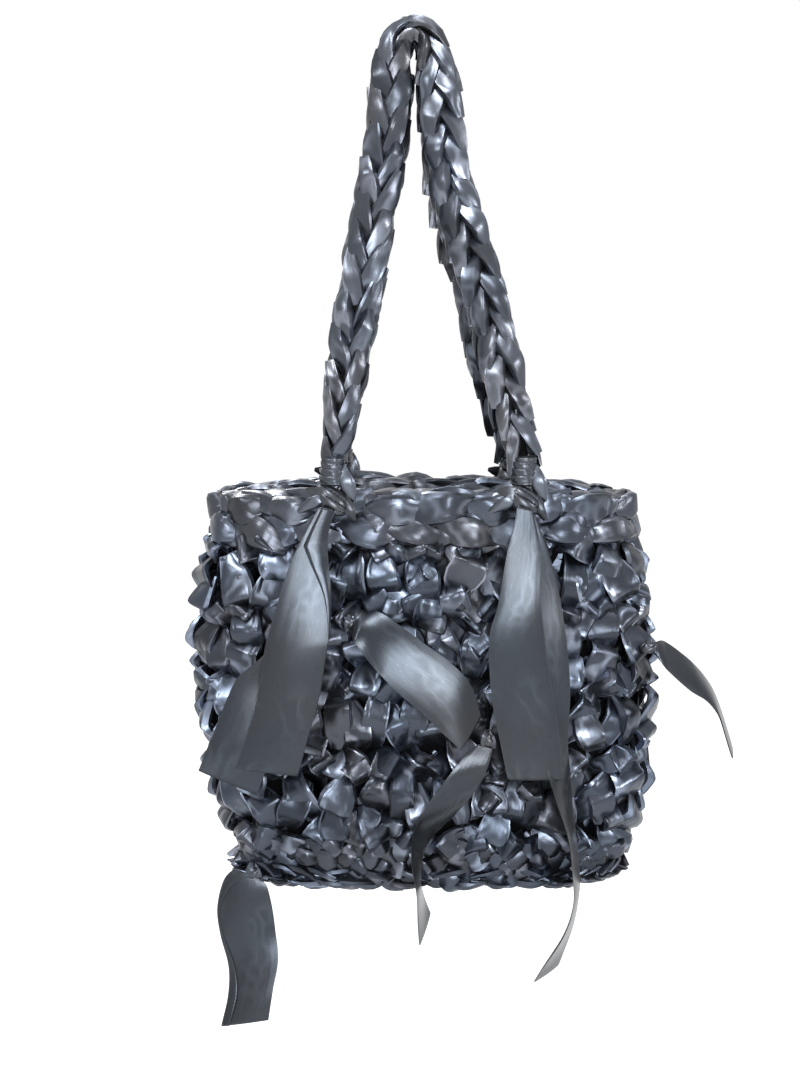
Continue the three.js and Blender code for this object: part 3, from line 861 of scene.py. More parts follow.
@dataclass
class LobeGuide:
    """The places of a cluster's bands, with each one's turn, stretch, form and shade, and its core."""

    seed: int
    points: list[Vector] = field(default_factory=list)
    turns: list[float] = field(default_factory=list)
    stretches: list[float] = field(default_factory=list)
    forms: list[int] = field(default_factory=list)
    shades: list[float] = field(default_factory=list)
    core_faces: list[tuple[int, ...]] = field(default_factory=list)

    def __post_init__(self) -> None:
        """Seeds the guide's own random numbers."""
        self.random = random.Random(self.seed)

    def jitter(self, amount: float) -> float:
        """A random number from minus to plus an amount."""
        return self.random.uniform(-amount, amount)

    def add(
        self,
        point: Vector,
        along: Vector,
        outward: Vector,
        stretch: tuple[float, float, float] = (1, 1, 1),
        shade: float = 0.0,
        form: int | None = None,
        roll: float = 0.0,
        pitch: float = 0.0,
    ) -> None:
        """Adds one band.

        Args:
            point: Where its middle lies.
            along: The direction that it runs.
            outward: The direction that it bulges.
            stretch: How its width, length and bulge differ from the cluster's.
            shade: How much lighter it is: from -1 to 1 as random tone, lower as painted shade.
            form: Its form, or None for a random one of the pads.
            roll: Its turn about its own run, in degrees.
            pitch: Its turn about its own width, in degrees.
        """
        y = along.normalized()
        x = y.cross(outward).normalized()
        basis = Matrix((x, y, x.cross(y))).transposed()
        for turn, axis in ((roll, "Y"), (pitch, "X")):
            basis = basis @ Matrix.Rotation(math.radians(turn), 3, axis)
        self.points.append(point)
        self.turns.extend(basis.to_euler())
        self.stretches.extend(stretch)
        self.forms.append(self.random.choice(PADS) if form is None else form)
        self.shades.append(shade)

    def lay(self, place: WallPlace, depth: float, tilt: float, sag: float = 0.0, **looks: object) -> None:
        """Adds one band on the wall.

        Args:
            place: Its place on the wall.
            depth: How far it stands out of the wall's plan.
            tilt: How far it leans from upright, in degrees.
            sag: How far it hangs below its place.
            looks: Its stretch, shade, form, roll and pitch.
        """
        angle = math.radians(tilt)
        along = place.up * math.cos(angle) + place.across * math.sin(angle)
        self.add(place.point + place.outward * depth - UP * sag, along, place.outward, **looks)

    def add_core(self, rings: Sequence[Sequence[Vector]], closed: bool = False, shade: float = -1.0) -> None:
        """Adds a solid inside the bands, so that nothing shows through them; by default it is darkened as
        painted shade.

        Args:
            rings: Its rings of points, each running the same way.
            closed: Whether the last ring joins the first, as on a hoop. Otherwise both ends are capped.
            shade: How much lighter it is than the finish.
        """
        size = len(rings) * len(rings[0])
        self.core_faces += grid_faces(len(rings), len(rings[0]), closed, tube=True, first=len(self.points))
        for ring in rings:
            self.points.extend(ring)
        self.turns.extend([0.0] * (3 * size))
        self.stretches.extend([1.0] * (3 * size))
        self.forms.extend([-1] * size)
        self.shades.extend([shade] * size)

    def mesh(self, name: str) -> bpy.types.Mesh:
        """The guide as a mesh: a loose point for each band, and the core's faces."""
        mesh = new_mesh(name, self.points, self.core_faces)
        for key, kind, socket, values in (
            ("turn", "FLOAT_VECTOR", "vector", self.turns),
            ("stretch", "FLOAT_VECTOR", "vector", self.stretches),
            ("form", "INT", "value", self.forms),
            (SHADE, "FLOAT", "value", self.shades),
        ):
            mesh.attributes.new(key, kind, "POINT").data.foreach_set(socket, values)
        return mesh


@dataclass(frozen=True)
class LobeSizes:
    """The sizes that a cluster's bands share. Filling is how far their undersides sink from the arch."""

    length: float
    width: float
    bulge: float
    edge: float = 1.0 * MM
    filling: float = 0.0
    crumple: float = 1.0 * MM
    crumple_scale: float = 55.0


@dataclass(frozen=True)
class Route:
    """A route to lay a straight piece on, drawn in round its middle."""

    points: Sequence[Vector]
    middle_share: float
    middle_reach: float

    def curve(self, name: str) -> bpy.types.Object:
        """The route as a curve object."""
        curve = bpy.data.curves.new(name, "CURVE")
        curve.dimensions = "3D"
        spline = curve.splines.new("POLY")
        spline.points.add(len(self.points) - 1)
        for place, point in zip(spline.points, self.points):
            place.co = (*point, 1)
        return new_object(name, curve)


class LobeWorks:
    """Turns guides into finished pieces."""

    def __init__(self) -> None:
        """Builds the node trees and the materials."""
        self.trees = LobeTrees()
        groups = weave_group(), tone_group()
        self.materials = {finish.name: finish.material(*groups) for finish in SATINS}

    @staticmethod
    def run_tree(piece: bpy.types.Object, tree: bpy.types.NodeTree, values: dict[str, object]) -> None:
        """Adds a tree to an object.

        Args:
            piece: The object.
            tree: The tree.
            values: Values for its inputs, by name.
        """
        modifier = piece.modifiers.new(tree.name, "NODES")
        modifier.node_group = tree
        for item in tree.interface.items_tree:
            if item.in_out == "INPUT" and item.name in values:
                modifier[item.identifier] = values[item.name]

    def make(
        self,
        name: str,
        guide: LobeGuide,
        sizes: LobeSizes,
        finish: SatinFinish,
        core_finish: SatinFinish = PAINTED_SHADE_SATIN,
        route: Route | None = None,
    ) -> bpy.types.Object:
        """Makes one piece of bands.

        Args:
            name: The piece's name.
            guide: Where its bands lie.
            sizes: How large they are.
            finish: Their finish.
            core_finish: The finish of the solid inside them, by default near-black as painted shade.
            route: The route that they are laid on, or None where the guide is in place.

        Returns:
            The piece, a plain mesh at the origin.
        """
        source = new_object(name + "_guide", guide.mesh(name + "_guide"))
        values = labelled(sizes) | {
            "Seed": float(guide.seed),
            "Material": self.materials[finish.name],
            "Core Material": self.materials[core_finish.name],
        }
        self.run_tree(source, self.trees.cluster, values)
        if route is None:
            return plain_copy(source, name)
        line = route.curve(name + "_route")
        middle = path_length(route.points) / 2
        self.run_tree(source, self.trees.route, labelled(route) | {"Route": line, "Middle": middle})
        piece = plain_copy(source, name)
        bpy.data.objects.remove(line)
        return piece


def plain_copy(source: bpy.types.Object, name: str) -> bpy.types.Object:
    """Turns an object's evaluated shape into a plain mesh and removes the object.

    Args:
        source: The object with its modifiers.
        name: The new piece's name.

    Returns:
        The new piece.
    """
    graph = bpy.context.evaluated_depsgraph_get()
    mesh = bpy.data.meshes.new_from_object(source.evaluated_get(graph))
    mesh.name = name
    piece = new_object(name, mesh)
    bpy.data.objects.remove(source)
    return piece


def settle(piece: bpy.types.Object, body: str, node: str) -> None:
    """Puts a finished piece on its body and in place of its node.

    Args:
        piece: The finished piece.
        body: The body that it moves with.
        node: The frame's node that it stands for.
    """
    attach(piece, body)
    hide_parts(node)
    log.info("%s rides on %s: %d faces", piece.name, body, len(piece.data.polygons))


@dataclass(frozen=True)
class StitchBand:
    """A band's place in one stitch.

    Across and up are shares of the stitch's width and height. Depth is out of the wall's plan, in
    millimetres, and tilt in degrees from upright. Length, width and bulge are shares of the round's bands.
    """

    across: float
    up: float
    depth: float
    tilt: float
    length: float
    width: float
    bulge: float = 1.0
    shade: float = 0.0


@dataclass(frozen=True)
class Strays:
    """How far the bands of one kind stray at random.

    Across is a share of a stitch. Tilt, roll and pitch are in degrees, height and depth in metres, and
    size and bulge are shares of the band's own.
    """

    across: float
    tilt: float
    shade: float
    height: float = 1 * MM
    depth: float = 0.0
    size: float = 0.0
    bulge: float = 0.0
    roll: float = 0.0
    pitch: float = 0.0


STITCH_STRAYS = Strays(0.05, 9, 0.7, height=2.5 * MM, depth=1.5 * MM, size=0.12, bulge=0.2, roll=14, pitch=10)
INNER_STRAYS = Strays(0.1, 20, 0.5)
RIM_STRAYS = Strays(0.1, 9, 0.6, depth=0.8 * MM, size=0.08, roll=14, pitch=7)
RIM_TOP_STRAYS = Strays(0.08, 4, 0.5)
BASE_STRAYS = Strays(0.15, 12, 0.6, size=0.15, bulge=0.2, roll=10, pitch=6)
PANEL_STRAYS = Strays(0.0, 12, 0.5)
PLAIT_STRAYS = Strays(0.08, 8, 0.8, size=0.12, bulge=0.15, roll=14, pitch=5)

# Across, up, depth, tilt, length and width.
YOKE = (
    StitchBand(-0.24, 0.37, -3.5, -24, 0.7, 0.8, shade=0.2),
    StitchBand(0.22, 0.39, -3, 28, 0.7, 0.8, shade=0.1),
    StitchBand(0.02, 0.06, -1.5, 14, 0.9, 1.25),
    StitchBand(-0.14, -0.3, -2.5, -18, 0.9, 1.05),
    StitchBand(0.22, -0.38, -4, 32, 0.78, 0.95, shade=-0.2),
)
PUFF = (
    StitchBand(-0.08, 0.22, -2.5, 13, 0.95, 1.2),
    StitchBand(0.06, -0.18, -1.5, -17, 1.0, 1.25),
    StitchBand(-0.26, -0.46, -4, -52, 0.78, 0.95),
    StitchBand(0.26, 0.46, -4, -42, 0.65, 0.85, shade=0.2),
)
CROSSED = (
    StitchBand(-0.14, 0.08, -4, 25, 1.15, 1.05),
    StitchBand(0.12, -0.02, -1.5, -29, 1.1, 1.1),
    StitchBand(-0.26, -0.42, -4.5, -48, 0.76, 0.95),
    StitchBand(0.24, 0.42, -4, 66, 0.66, 0.85, shade=0.2),
)
POSTS = (
    StitchBand(-0.2, 0.04, -2.5, 8, 1.15, 0.95),
    StitchBand(0.2, -0.02, -3.5, -11, 1.05, 1.0, shade=-0.1),
    StitchBand(-0.04, -0.46, -4.5, -58, 0.8, 0.9),
    StitchBand(0.12, 0.42, -2.5, -46, 0.68, 0.85, shade=0.15),
)
STITCHES = (YOKE, PUFF, CROSSED, POSTS)
WRAP = (StitchBand(0.02, 0.08, -1, 40, 0.7, 0.72, shade=0.15),)
# A near-black band behind each stitch: painted shade in the slits between the stitches.
PAINTED_SHADE_BACKING = (StitchBand(0.45, 0.2, -8, 12, 1.2, 1.1, bulge=0.5, shade=-2.2),)

# Up, as a share of the height; depth in millimetres; tilt in degrees; shift round; and size.
RIM_TIERS = (
    (0.2, -2.5, 13, 0.0, 1.0),
    (0.64, -2.5, -9, 0.5, 1.0),
    (0.42, -5, 35, 0.25, 0.8),
    (0.1, -6, -30, 0.5, 0.8),
    (0.74, -6, 14, 0.0, 0.8),
)
# How far the bands face outward and up; depth and drop in millimetres; and shift round.
RIM_TOP_TIERS = ((0.15, 1.0, -6, 9, 0.25), (-1.0, 0.5, -8.5, 11, 0.75), (-1.0, 0.0, -9.5, 22, 0.3))
# Up, as a share of the height; depth in millimetres; and shade. The deepest tier is darkened as painted shade
# between the stitches.
BASE_TIERS = ((0.4, -3.5, 0.1), (0.9, -4, 0.0), (0.6, -6, -1.0))
# Up, as a share of the height; tilt in degrees; and shift round.
INNER_TIERS = ((-0.3, 60, -0.2), (0.0, -20, 0.2), (0.32, -58, 0.0))


@dataclass
class CrochetedBody:
    """The bag's body: base panel, base rounds, stitch rounds and rim."""

    works: LobeWorks
    stitches_per_round: int = 26
    stitch_rounds: int = 4
    base_rounds: int = 2
    base_density: float = 1.6
    rim_loops: int = 19
    core_steps: int = 96
    stitch_swell: float = 9 * MM
    rim_swell: float = 8 * MM
    base_swell: float = 8 * MM
    inner_depth: float = 8 * MM
    # The bands inside the bag are darkened: painted shade.
    inner_shade: float = -0.5
    wrapped_share: float = 0.2
    corner_shortening: float = 0.45
    base_leans: tuple[float, float] = (58, 120)
    rim_top_leans: tuple[float, float] = (-5, 5)
    panel_leans: tuple[float, float] = (-28, 28)
    inner_stretch: tuple[float, float, float] = (1.25, 1.0, 0.34)
    panel_stretch: tuple[float, float, float] = (1.15, 1.45, 0.7)
    core_depths: tuple[float, float] = (-7.5 * MM, -9 * MM)
    band: LobeSizes = LobeSizes(33 * MM, 19 * MM, 10 * MM, edge=0.7 * MM, filling=0.35, crumple=0.8 * MM)
    stitch_sink: float = 2.5 * MM
    stitch_rise: float = 3 * MM
    turned_shortening: float = 0.4
    rim_band: LobeSizes = LobeSizes(50 * MM, 20 * MM, 7.5 * MM, edge=0.9 * MM, filling=0.6)
    base_band: LobeSizes = LobeSizes(26 * MM, 14 * MM, 6.5 * MM, edge=0.7 * MM, filling=0.6, crumple=0.6 * MM)
    core_overlap: float = 2 * MM
    rim_core_drop: float = 13 * MM
    panel_rise: float = 1 * MM
    panel_pitch: float = 11 * MM
    panel_stitch: float = 14 * MM
    panel_reach: float = 6 * MM
    panel_core: float = 1.5 * MM
    side_droop: float = 7 * MM

    def __post_init__(self) -> None:
        """Reads the wall's shape from the frame."""
        self.base_names = [f"base_edge_round_{i + 1}" for i in range(self.base_rounds)]
        self.stitch_names = [f"stitch_round_{i + 1}" for i in range(self.stitch_rounds)]
        swells = {name: self.base_swell for name in self.base_names}
        swells |= {name: self.stitch_swell for name in self.stitch_names}
        swells["rim_round"] = self.rim_swell
        self.wall = WallShape(swells)

    def wall_guide(self, seed: int, low: float, high: float) -> LobeGuide:
        """Starts a guide with the middle of the wall, near-black as painted shade, which closes the slits
        between the bands.

        Args:
            seed: The guide's seed.
            low: The height of the core's foot.
            high: The height of its top.

        Returns:
            The guide.
        """
        guide = LobeGuide(seed)
        low, high = low - self.core_overlap, high + self.core_overlap
        outer, inner = self.core_depths
        rings = []
        for step in range(self.core_steps):
            ring = []
            for height, depth in ((high, outer), (low, outer), (low, inner), (high, inner)):
                place = self.wall.place(step / self.core_steps, height)
                level = place.outward.copy()
                level.z = 0
                ring.append(place.point + level.normalized() * depth)
            rings.append(ring)
        guide.add_core(rings, closed=True)
        return guide

    def droop(self, place: WallPlace) -> float:
        """How far the rim sinks at a place: its ends hang lower than its middle."""
        low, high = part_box("rim_round")
        aside = (2 * place.point.x - low.x - high.x) / (high.x - low.x)
        return self.side_droop * aside**4

    def stitch(
        self, guide: LobeGuide, share: float, low: float, high: float, pattern: Sequence[StitchBand]
    ) -> None:
        """Adds the bands of one stitch.

        Args:
            guide: The guide that they go into.
            share: The stitch's share of the way round.
            low: The height of its foot.
            high: The height of its head.
            pattern: Its bands.
        """
        strays = STITCH_STRAYS
        middle = (low + high) / 2
        cell_width = self.wall.perimeter(middle) / self.stitches_per_round
        mirrored = guide.random.choice((-1, 1))
        rise = guide.jitter(self.stitch_rise)
        for band in pattern:
            height = middle + (high - low) * band.up + rise + guide.jitter(strays.height)
            shift = (mirrored * band.across + guide.jitter(strays.across)) * cell_width
            step = shift / self.wall.perimeter(height)
            tilt = mirrored * band.tilt + guide.jitter(strays.tilt) + guide.random.choice((0, 180))
            turned = abs(math.sin(math.radians(tilt)))
            tightness = self.wall.tightness(share + step, height)
            shortening = 1 - self.turned_shortening * turned * tightness
            size = 1 + guide.jitter(strays.size)
            length = band.length * shortening * (1 + guide.jitter(strays.size))
            guide.lay(
                self.wall.place(share + step, height),
                band.depth * MM - self.stitch_sink + guide.jitter(strays.depth),
                tilt,
                stretch=(band.width * size, length, band.bulge * (1 + guide.jitter(strays.bulge))),
                shade=band.shade + guide.jitter(strays.shade),
                roll=guide.jitter(strays.roll),
                pitch=guide.jitter(strays.pitch),
            )

    def inner_stitch(self, guide: LobeGuide, share: float, low: float, high: float) -> None:
        """Adds the bands that one stitch shows inside the bag.

        Args:
            guide: The guide that they go into.
            share: The stitch's share of the way round.
            low: The height of its foot.
            high: The height of its head.
        """
        strays = INNER_STRAYS
        for up, tilt, shift in INNER_TIERS:
            height = (low + high) / 2 + (high - low) * up
            step = (shift + guide.jitter(strays.across)) / self.stitches_per_round
            place = self.wall.place(share + step, height)
            angle = math.radians(tilt + guide.jitter(strays.tilt))
            along = place.up * math.cos(angle) + place.across * math.sin(angle)
            point = place.point - place.outward * self.inner_depth
            shade = self.inner_shade + guide.jitter(strays.shade)
            guide.add(point, along, -place.outward, self.inner_stretch, shade)

    def stitch_round(self, index: int) -> None:
        """Builds one round of tall stitches, the base's being number 0."""
        name = self.stitch_names[index]
        low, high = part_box(name)
        guide = self.wall_guide(40 + index, low.z, high.z)
        for column in range(self.stitches_per_round):
            share = (column + 0.5 * (index % 2)) / self.stitches_per_round
            self.stitch(guide, share, low.z, high.z, PAINTED_SHADE_BACKING)
            pattern = guide.random.choice(STITCHES)
            wrapped = guide.random.random() < self.wrapped_share
            self.stitch(guide, share, low.z, high.z, pattern + WRAP if wrapped else pattern)
            self.inner_stitch(guide, share, low.z, high.z)
        piece = self.works.make(name + "_satin", guide, self.band, CROCHET_SATIN)
        settle(piece, "bag", name)

    def rim(self) -> None:
        """Builds the rim: long leaf-shaped loops in tiers, each one tucked under the next."""
        low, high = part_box("rim_round")
        guide = self.wall_guide(60, low.z, high.z - self.rim_core_drop)
        strays = RIM_STRAYS
        for up, depth, tilt, shift, size in RIM_TIERS:
            for index in range(self.rim_loops):
                share = (index + shift + guide.jitter(strays.across)) / self.rim_loops
                height = low.z + (high.z - low.z) * up + guide.jitter(strays.height)
                place = self.wall.place(share, height)
                lean = 90 + tilt + guide.jitter(strays.tilt)
                shortening = 1 - self.corner_shortening * self.wall.tightness(share, height)
                length = size * shortening * (1 + guide.jitter(strays.size))
                guide.lay(
                    place,
                    depth * MM + guide.jitter(strays.depth),
                    lean,
                    sag=self.droop(place) * up,
                    stretch=(size * (1 + guide.jitter(strays.size)), length, 1),
                    shade=guide.jitter(strays.shade),
                    form=guide.random.choice(LEAVES),
                    roll=guide.jitter(strays.roll),
                    pitch=guide.jitter(strays.pitch),
                )
        self.rim_top(guide, high.z)
        piece = self.works.make("rim_round_satin", guide, self.rim_band, RIM_SATIN)
        settle(piece, "bag", "rim_round")

    def rim_top(self, guide: LobeGuide, top: float) -> None:
        """Adds the bands over the rim's top edge and down its inner side.

        Args:
            guide: The guide that they go into.
            top: The height of the rim's top.
        """
        strays = RIM_TOP_STRAYS
        for outward_share, up_share, depth, drop, shift in RIM_TOP_TIERS:
            for index in range(self.rim_loops):
                share = (index + shift + guide.jitter(strays.across)) / self.rim_loops
                place = self.wall.place(share, top)
                outward = (place.outward * outward_share + UP * up_share).normalized()
                lean = math.radians(guide.random.choice(self.rim_top_leans) + guide.jitter(strays.tilt))
                shortening = 1 - self.corner_shortening * self.wall.tightness(share, top)
                point = place.point + place.outward * (depth * MM) - UP * (drop * MM + self.droop(place))
                along = place.across * math.cos(lean) + outward.cross(place.across) * math.sin(lean)
                shade, form = guide.jitter(strays.shade), guide.random.choice(LEAVES)
                guide.add(point, along, outward, (0.85, shortening, 0.75), shade, form)

    def base_round(self, index: int) -> None:
        """Builds one low round of small tight stitches at the base's edge, the lowest being number 0."""
        name = self.base_names[index]
        low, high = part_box(name)
        guide = self.wall_guide(80 + index, low.z, high.z)
        strays = BASE_STRAYS
        count = round(self.base_density * self.stitches_per_round)
        for column in range(count):
            for up, depth, shade in BASE_TIERS:
                height = low.z + (high.z - low.z) * up + guide.jitter(strays.height)
                share = (column + up + guide.jitter(strays.across)) / count
                guide.lay(
                    self.wall.place(share, height),
                    depth * MM,
                    guide.random.choice(self.base_leans) + guide.jitter(strays.tilt),
                    stretch=tuple(1 + guide.jitter(x) for x in (strays.size, strays.size, strays.bulge)),
                    shade=shade + guide.jitter(strays.shade),
                    form=guide.random.choice(LEAVES),
                    roll=guide.jitter(strays.roll),
                    pitch=guide.jitter(strays.pitch),
                )
        piece = self.works.make(name + "_satin", guide, self.base_band, CROCHET_SATIN)
        settle(piece, "bag", name)

    def panel(self) -> None:
        """Builds the base: oval rounds of small stitches, one inside the other."""
        low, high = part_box("base_panel")
        guide, strays = LobeGuide(90), PANEL_STRAYS
        middle = (low + high) / 2
        half_width, half_depth = (high.x - low.x) / 2, (high.y - low.y) / 2
        core = []
        for height in (middle.z - self.panel_core, middle.z + self.panel_core):
            edge = (full_oval(half_width, half_depth, turn) for turn in turns_round(self.core_steps))
            core.append([Vector((middle.x + x, middle.y + y, height)) for x, y in edge])
        guide.add_core(core)
        for ring in range(int((half_depth + self.panel_reach) / self.panel_pitch) + 1):
            width = half_width + self.panel_reach - ring * self.panel_pitch
            depth = max(half_depth + self.panel_reach - ring * self.panel_pitch, MM)
            count = max(int(2 * (2 * width + depth) / self.panel_stitch), 6)
            for index in range(count):
                turn = 2 * math.pi * (index + 0.5 * (ring % 2)) / count
                x, y = full_oval(width, depth, turn)
                along = Vector((-width * math.sin(turn), depth * math.cos(turn), 0)).normalized()
                for outward in (-UP, UP):
                    lean = math.radians(guide.random.choice(self.panel_leans) + guide.jitter(strays.tilt))
                    point = Vector((middle.x + x, middle.y + y, middle.z)) + outward * self.panel_rise
                    run = Matrix.Rotation(lean, 3, outward) @ along
                    shade, form = guide.jitter(strays.shade), guide.random.choice(LEAVES)
                    guide.add(point, run, outward, self.panel_stretch, shade, form)
        piece = self.works.make("base_panel_satin", guide, self.base_band, CROCHET_SATIN)
        settle(piece, "bag", "base_panel")

    def build(self) -> None:
        """Builds the whole body."""
        self.panel()
        for index in range(self.base_rounds):
            self.base_round(index)
        for index in range(self.stitch_rounds):
            self.stitch_round(index)
        self.rim()


# How far down a leg each point lies, and how far it has spread to its knot there.
LEFT_LEG_SHARES = (
    (0.04, 0.24), (0.16, 0.3), (0.28, 0.39), (0.42, 0.52), (0.58, 0.69), (0.72, 0.82), (0.86, 0.945),
    (0.93, 1), (1, 1),
)
RIGHT_LEG_SHARES = (
    (0.04, 0.17), (0.14, 0.22), (0.27, 0.3), (0.42, 0.455), (0.58, 0.67), (0.72, 0.79), (0.86, 0.935),
    (0.93, 1), (1, 1),
)


@dataclass
class PlaitedHandle:
    """A handle: its plaited strap and the bindings over its knots."""

    side: Side
    works: LobeWorks
    band: LobeSizes = LobeSizes(43 * MM, 13 * MM, 6 * MM, edge=0.7 * MM, filling=0.65, crumple=0.6 * MM)
    pitch: float = 21 * MM
    taper_share: float = 0.64
    taper_reach: float = 60 * MM
    column: float = 3.4 * MM
    face_gap: float = 0.8 * MM
    core_radius: float = 4 * MM
    core_width_share: float = 1.3
    core_around: int = 12
    column_lean: float = 16
    column_pitch: float = 3
    face_lean: float = 0.55
    core_rings: int = 61
    apex_height: float = 1 * MM
    apex_depth: float = 5.35 * MM
    apex_share: float = 0.6
    apex_reach: float = 26 * MM
    back_tucks: tuple[float, float] = (-0.03, 0.09)
    path_steps: int = 240
    end_reach: float = 25 * MM
    binding_foot: float = 11 * MM
    binding_around: int = 44
    binding_rings: int = 49
    wraps: float = 4.3
    binding_radius: float = 8.2 * MM
    binding_taper: float = 1.8 * MM
    wrap_step: float = 1.2 * MM
    wrap_fold: float = 0.25 * MM
    wrap_waver: float = 0.1
    wrap_sharpness: float = 0.7
    end_start: float = 0.85
    end_slope: float = 1.2

    def __post_init__(self) -> None:
        """Names the handle and finds its knots."""
        self.label = self.side.name.lower()
        boxes = (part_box(f"{self.label}_{end}_knot") for end in ("left", "right"))
        self.left, self.right = ((low + high) / 2 for low, high in boxes)

    def leg(self, knot: Vector, shares: Sequence[tuple[float, float]], tuck: float) -> list[Vector]:
        """One leg's points.

        Args:
            knot: The knot that it runs down to.
            shares: How far down each point lies and how far out, as shares of the way to the knot.
            tuck: How far its middle is drawn in.

        Returns:
            The points, from the top down.
        """
        depth = self.side.value * self.apex_depth
        points = []
        for drop, spread in shares:
            x = knot.x * spread * (1 - tuck * math.sin(math.pi * drop))
            z = self.apex_height + (knot.z - self.apex_height) * drop
            points.append(Vector((x, depth + (knot.y - depth) * drop, z)))
        return points

    def path(self) -> list[Vector]:
        """The handle's route, from the left knot over the top to the right one."""
        tucks = self.back_tucks if self.side is Side.BACK else (0.0, 0.0)
        top = Vector((0, self.side.value * self.apex_depth, self.apex_height))
        left = self.leg(self.left, LEFT_LEG_SHARES, tucks[0])
        right = self.leg(self.right, RIGHT_LEG_SHARES, tucks[1])
        return smooth_path([*reversed(left), top, *right], self.path_steps)

    def taper(self, along: float, start: float, end: float) -> float:
        """How full the strap is at a place along it: it narrows towards its bindings."""
        from_end = min(along - start, end - along)
        return self.taper_share + (1 - self.taper_share) * min(1.0, from_end / self.taper_reach)

    def strap(self) -> None:
        """Builds the plaited strap: bands in two columns on each face, each under the next."""
        path = self.path()
        start, end = self.end_reach, path_length(path) - self.end_reach
        guide = LobeGuide(100 + self.side.value)
        rings = []
        for ring in range(self.core_rings):
            along = start + (end - start) * ring / (self.core_rings - 1)
            radius = self.core_radius * self.taper(along, start, end)
            wide = radius * self.core_width_share
            turns = turns_round(self.core_around)
            rings.append([Vector((wide * math.cos(turn), along, -radius * math.sin(turn))) for turn in turns])
        guide.add_core(rings)
        strays = PLAIT_STRAYS
        count = round((end - start) / self.pitch)
        step = (end - start) / count
        for index in range(count + 1):
            for column, face, shift in ((-1, 1, 0), (1, 1, 0.5), (-1, -1, 0.5), (1, -1, 0)):
                along = start + (index + shift + guide.jitter(strays.across)) * step
                if along > end:
                    continue
                lean = math.radians(column * self.column_lean + guide.jitter(strays.tilt))
                size = self.taper(along, start, end)
                room = 2 * (min(along, path_length(path) - along) - self.binding_foot)
                length = min(1 + guide.jitter(strays.size), room / self.band.length)
                guide.add(
                    Vector((column * self.column * size, along, face * self.face_gap)),
                    Vector((math.sin(lean), math.cos(lean), 0)),
                    Vector((column * self.face_lean, 0, face)).normalized(),
                    (size * (1 + guide.jitter(strays.size)), length, size * (1 + guide.jitter(strays.bulge))),
                    guide.jitter(strays.shade),
                    form=guide.random.choice(LEAVES),
                    roll=guide.jitter(strays.roll),
                    pitch=self.column_pitch + guide.jitter(strays.pitch),
                )
        route = Route(path, self.apex_share, self.apex_reach)
        piece = self.works.make(f"{self.label}_handle_plait", guide, self.band, PLAITED_SATIN, route=route)
        settle(piece, f"{self.label}_handle", f"{self.label}_handle_strap")

    def binding(self, knot: Vector, node: str) -> None:
        """Builds the wraps of ribbon over one knot.

        Args:
            knot: The knot that they stand over.
            node: The frame's node that they stand for.
        """
        low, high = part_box(node)
        lean = ((low.x + high.x) / 2 - knot.x) / max((low.z + high.z) / 2 - knot.z, MM)
        points = []
        for ring in range(self.binding_rings):
            share = ring / (self.binding_rings - 1)
            height = low.z + (high.z - low.z) * share
            centre = Vector((knot.x + lean * (height - knot.z), (low.y + high.y) / 2, height))
            for corner in range(self.binding_around):
                angle = 2 * math.pi * corner / self.binding_around
                uneven = self.wrap_waver * math.sin(2 * angle + 5 * share)
                phase = self.wraps * share + corner / self.binding_around + uneven
                step = self.wrap_step * (phase % 1) ** self.wrap_sharpness
                fold = self.wrap_fold * math.sin(5 * angle + 17 * share) * math.sin(3 * angle - 9 * share)
                radius = (self.binding_radius - self.binding_taper * share) + step + fold
                end = 1 - self.end_slope * max(0.0, abs(2 * share - 1) - self.end_start)
                points.append(centre + Vector((math.cos(angle), math.sin(angle), 0)) * radius * end)
        faces = grid_faces(self.binding_rings, self.binding_around, tube=True)
        piece = new_object(node + "_wraps", new_mesh(node + "_wraps", points, faces))
        piece.data.shade_smooth()
        piece.data.materials.append(self.works.materials[BOUND_SATIN.name])
        settle(piece, f"{self.label}_handle", node)

    def build(self) -> None:
        """Builds the strap and both bindings."""
        self.strap()
        self.binding(self.left, f"{self.label}_left_binding")
        self.binding(self.right, f"{self.label}_right_binding")


@dataclass(frozen=True)
class KnotBand:
    """A band beside or across a knot: its middle and its run, as shares of the knot's radius, and its size.

    The place and the run are to the right, out of the wall and up.
    """

    place: tuple[float, float, float]
    run: tuple[float, float, float]
    stretch: tuple[float, float, float]
    form: int
    shade: float


# Place, run, stretch, form and shade.
HANDLE_KNOT_BANDS = (
    KnotBand((0.95, 0.1, 1.0), (-0.3, 0, 1), (0.95, 1.15, 0.7), LEAVES[0], 0.5),
    KnotBand((-1.25, 0.1, -0.15), (1, 0, 0.55), (0.8, 1.15, 0.8), LEAVES[1], 0.5),
    KnotBand((-0.75, 0.2, 0.5), (1, 0, -0.2), (0.8, 1.0, 0.7), LEAVES[3], 0.1),
    KnotBand((0.95, 0.1, -0.35), (0.35, 0, -1), (0.7, 1.0, 0.7), LEAVES[2], -0.4),
)
END_KNOT_BANDS = (
    KnotBand((-0.35, 0.3, 0.1), (0.2, 0, 1), (0.8, 0.9, 0.8), LEAVES[0], 0.4),
    KnotBand((0.45, 0.2, -0.1), (-0.3, 0, 1), (0.8, 0.9, 0.8), LEAVES[3], -0.2),
)


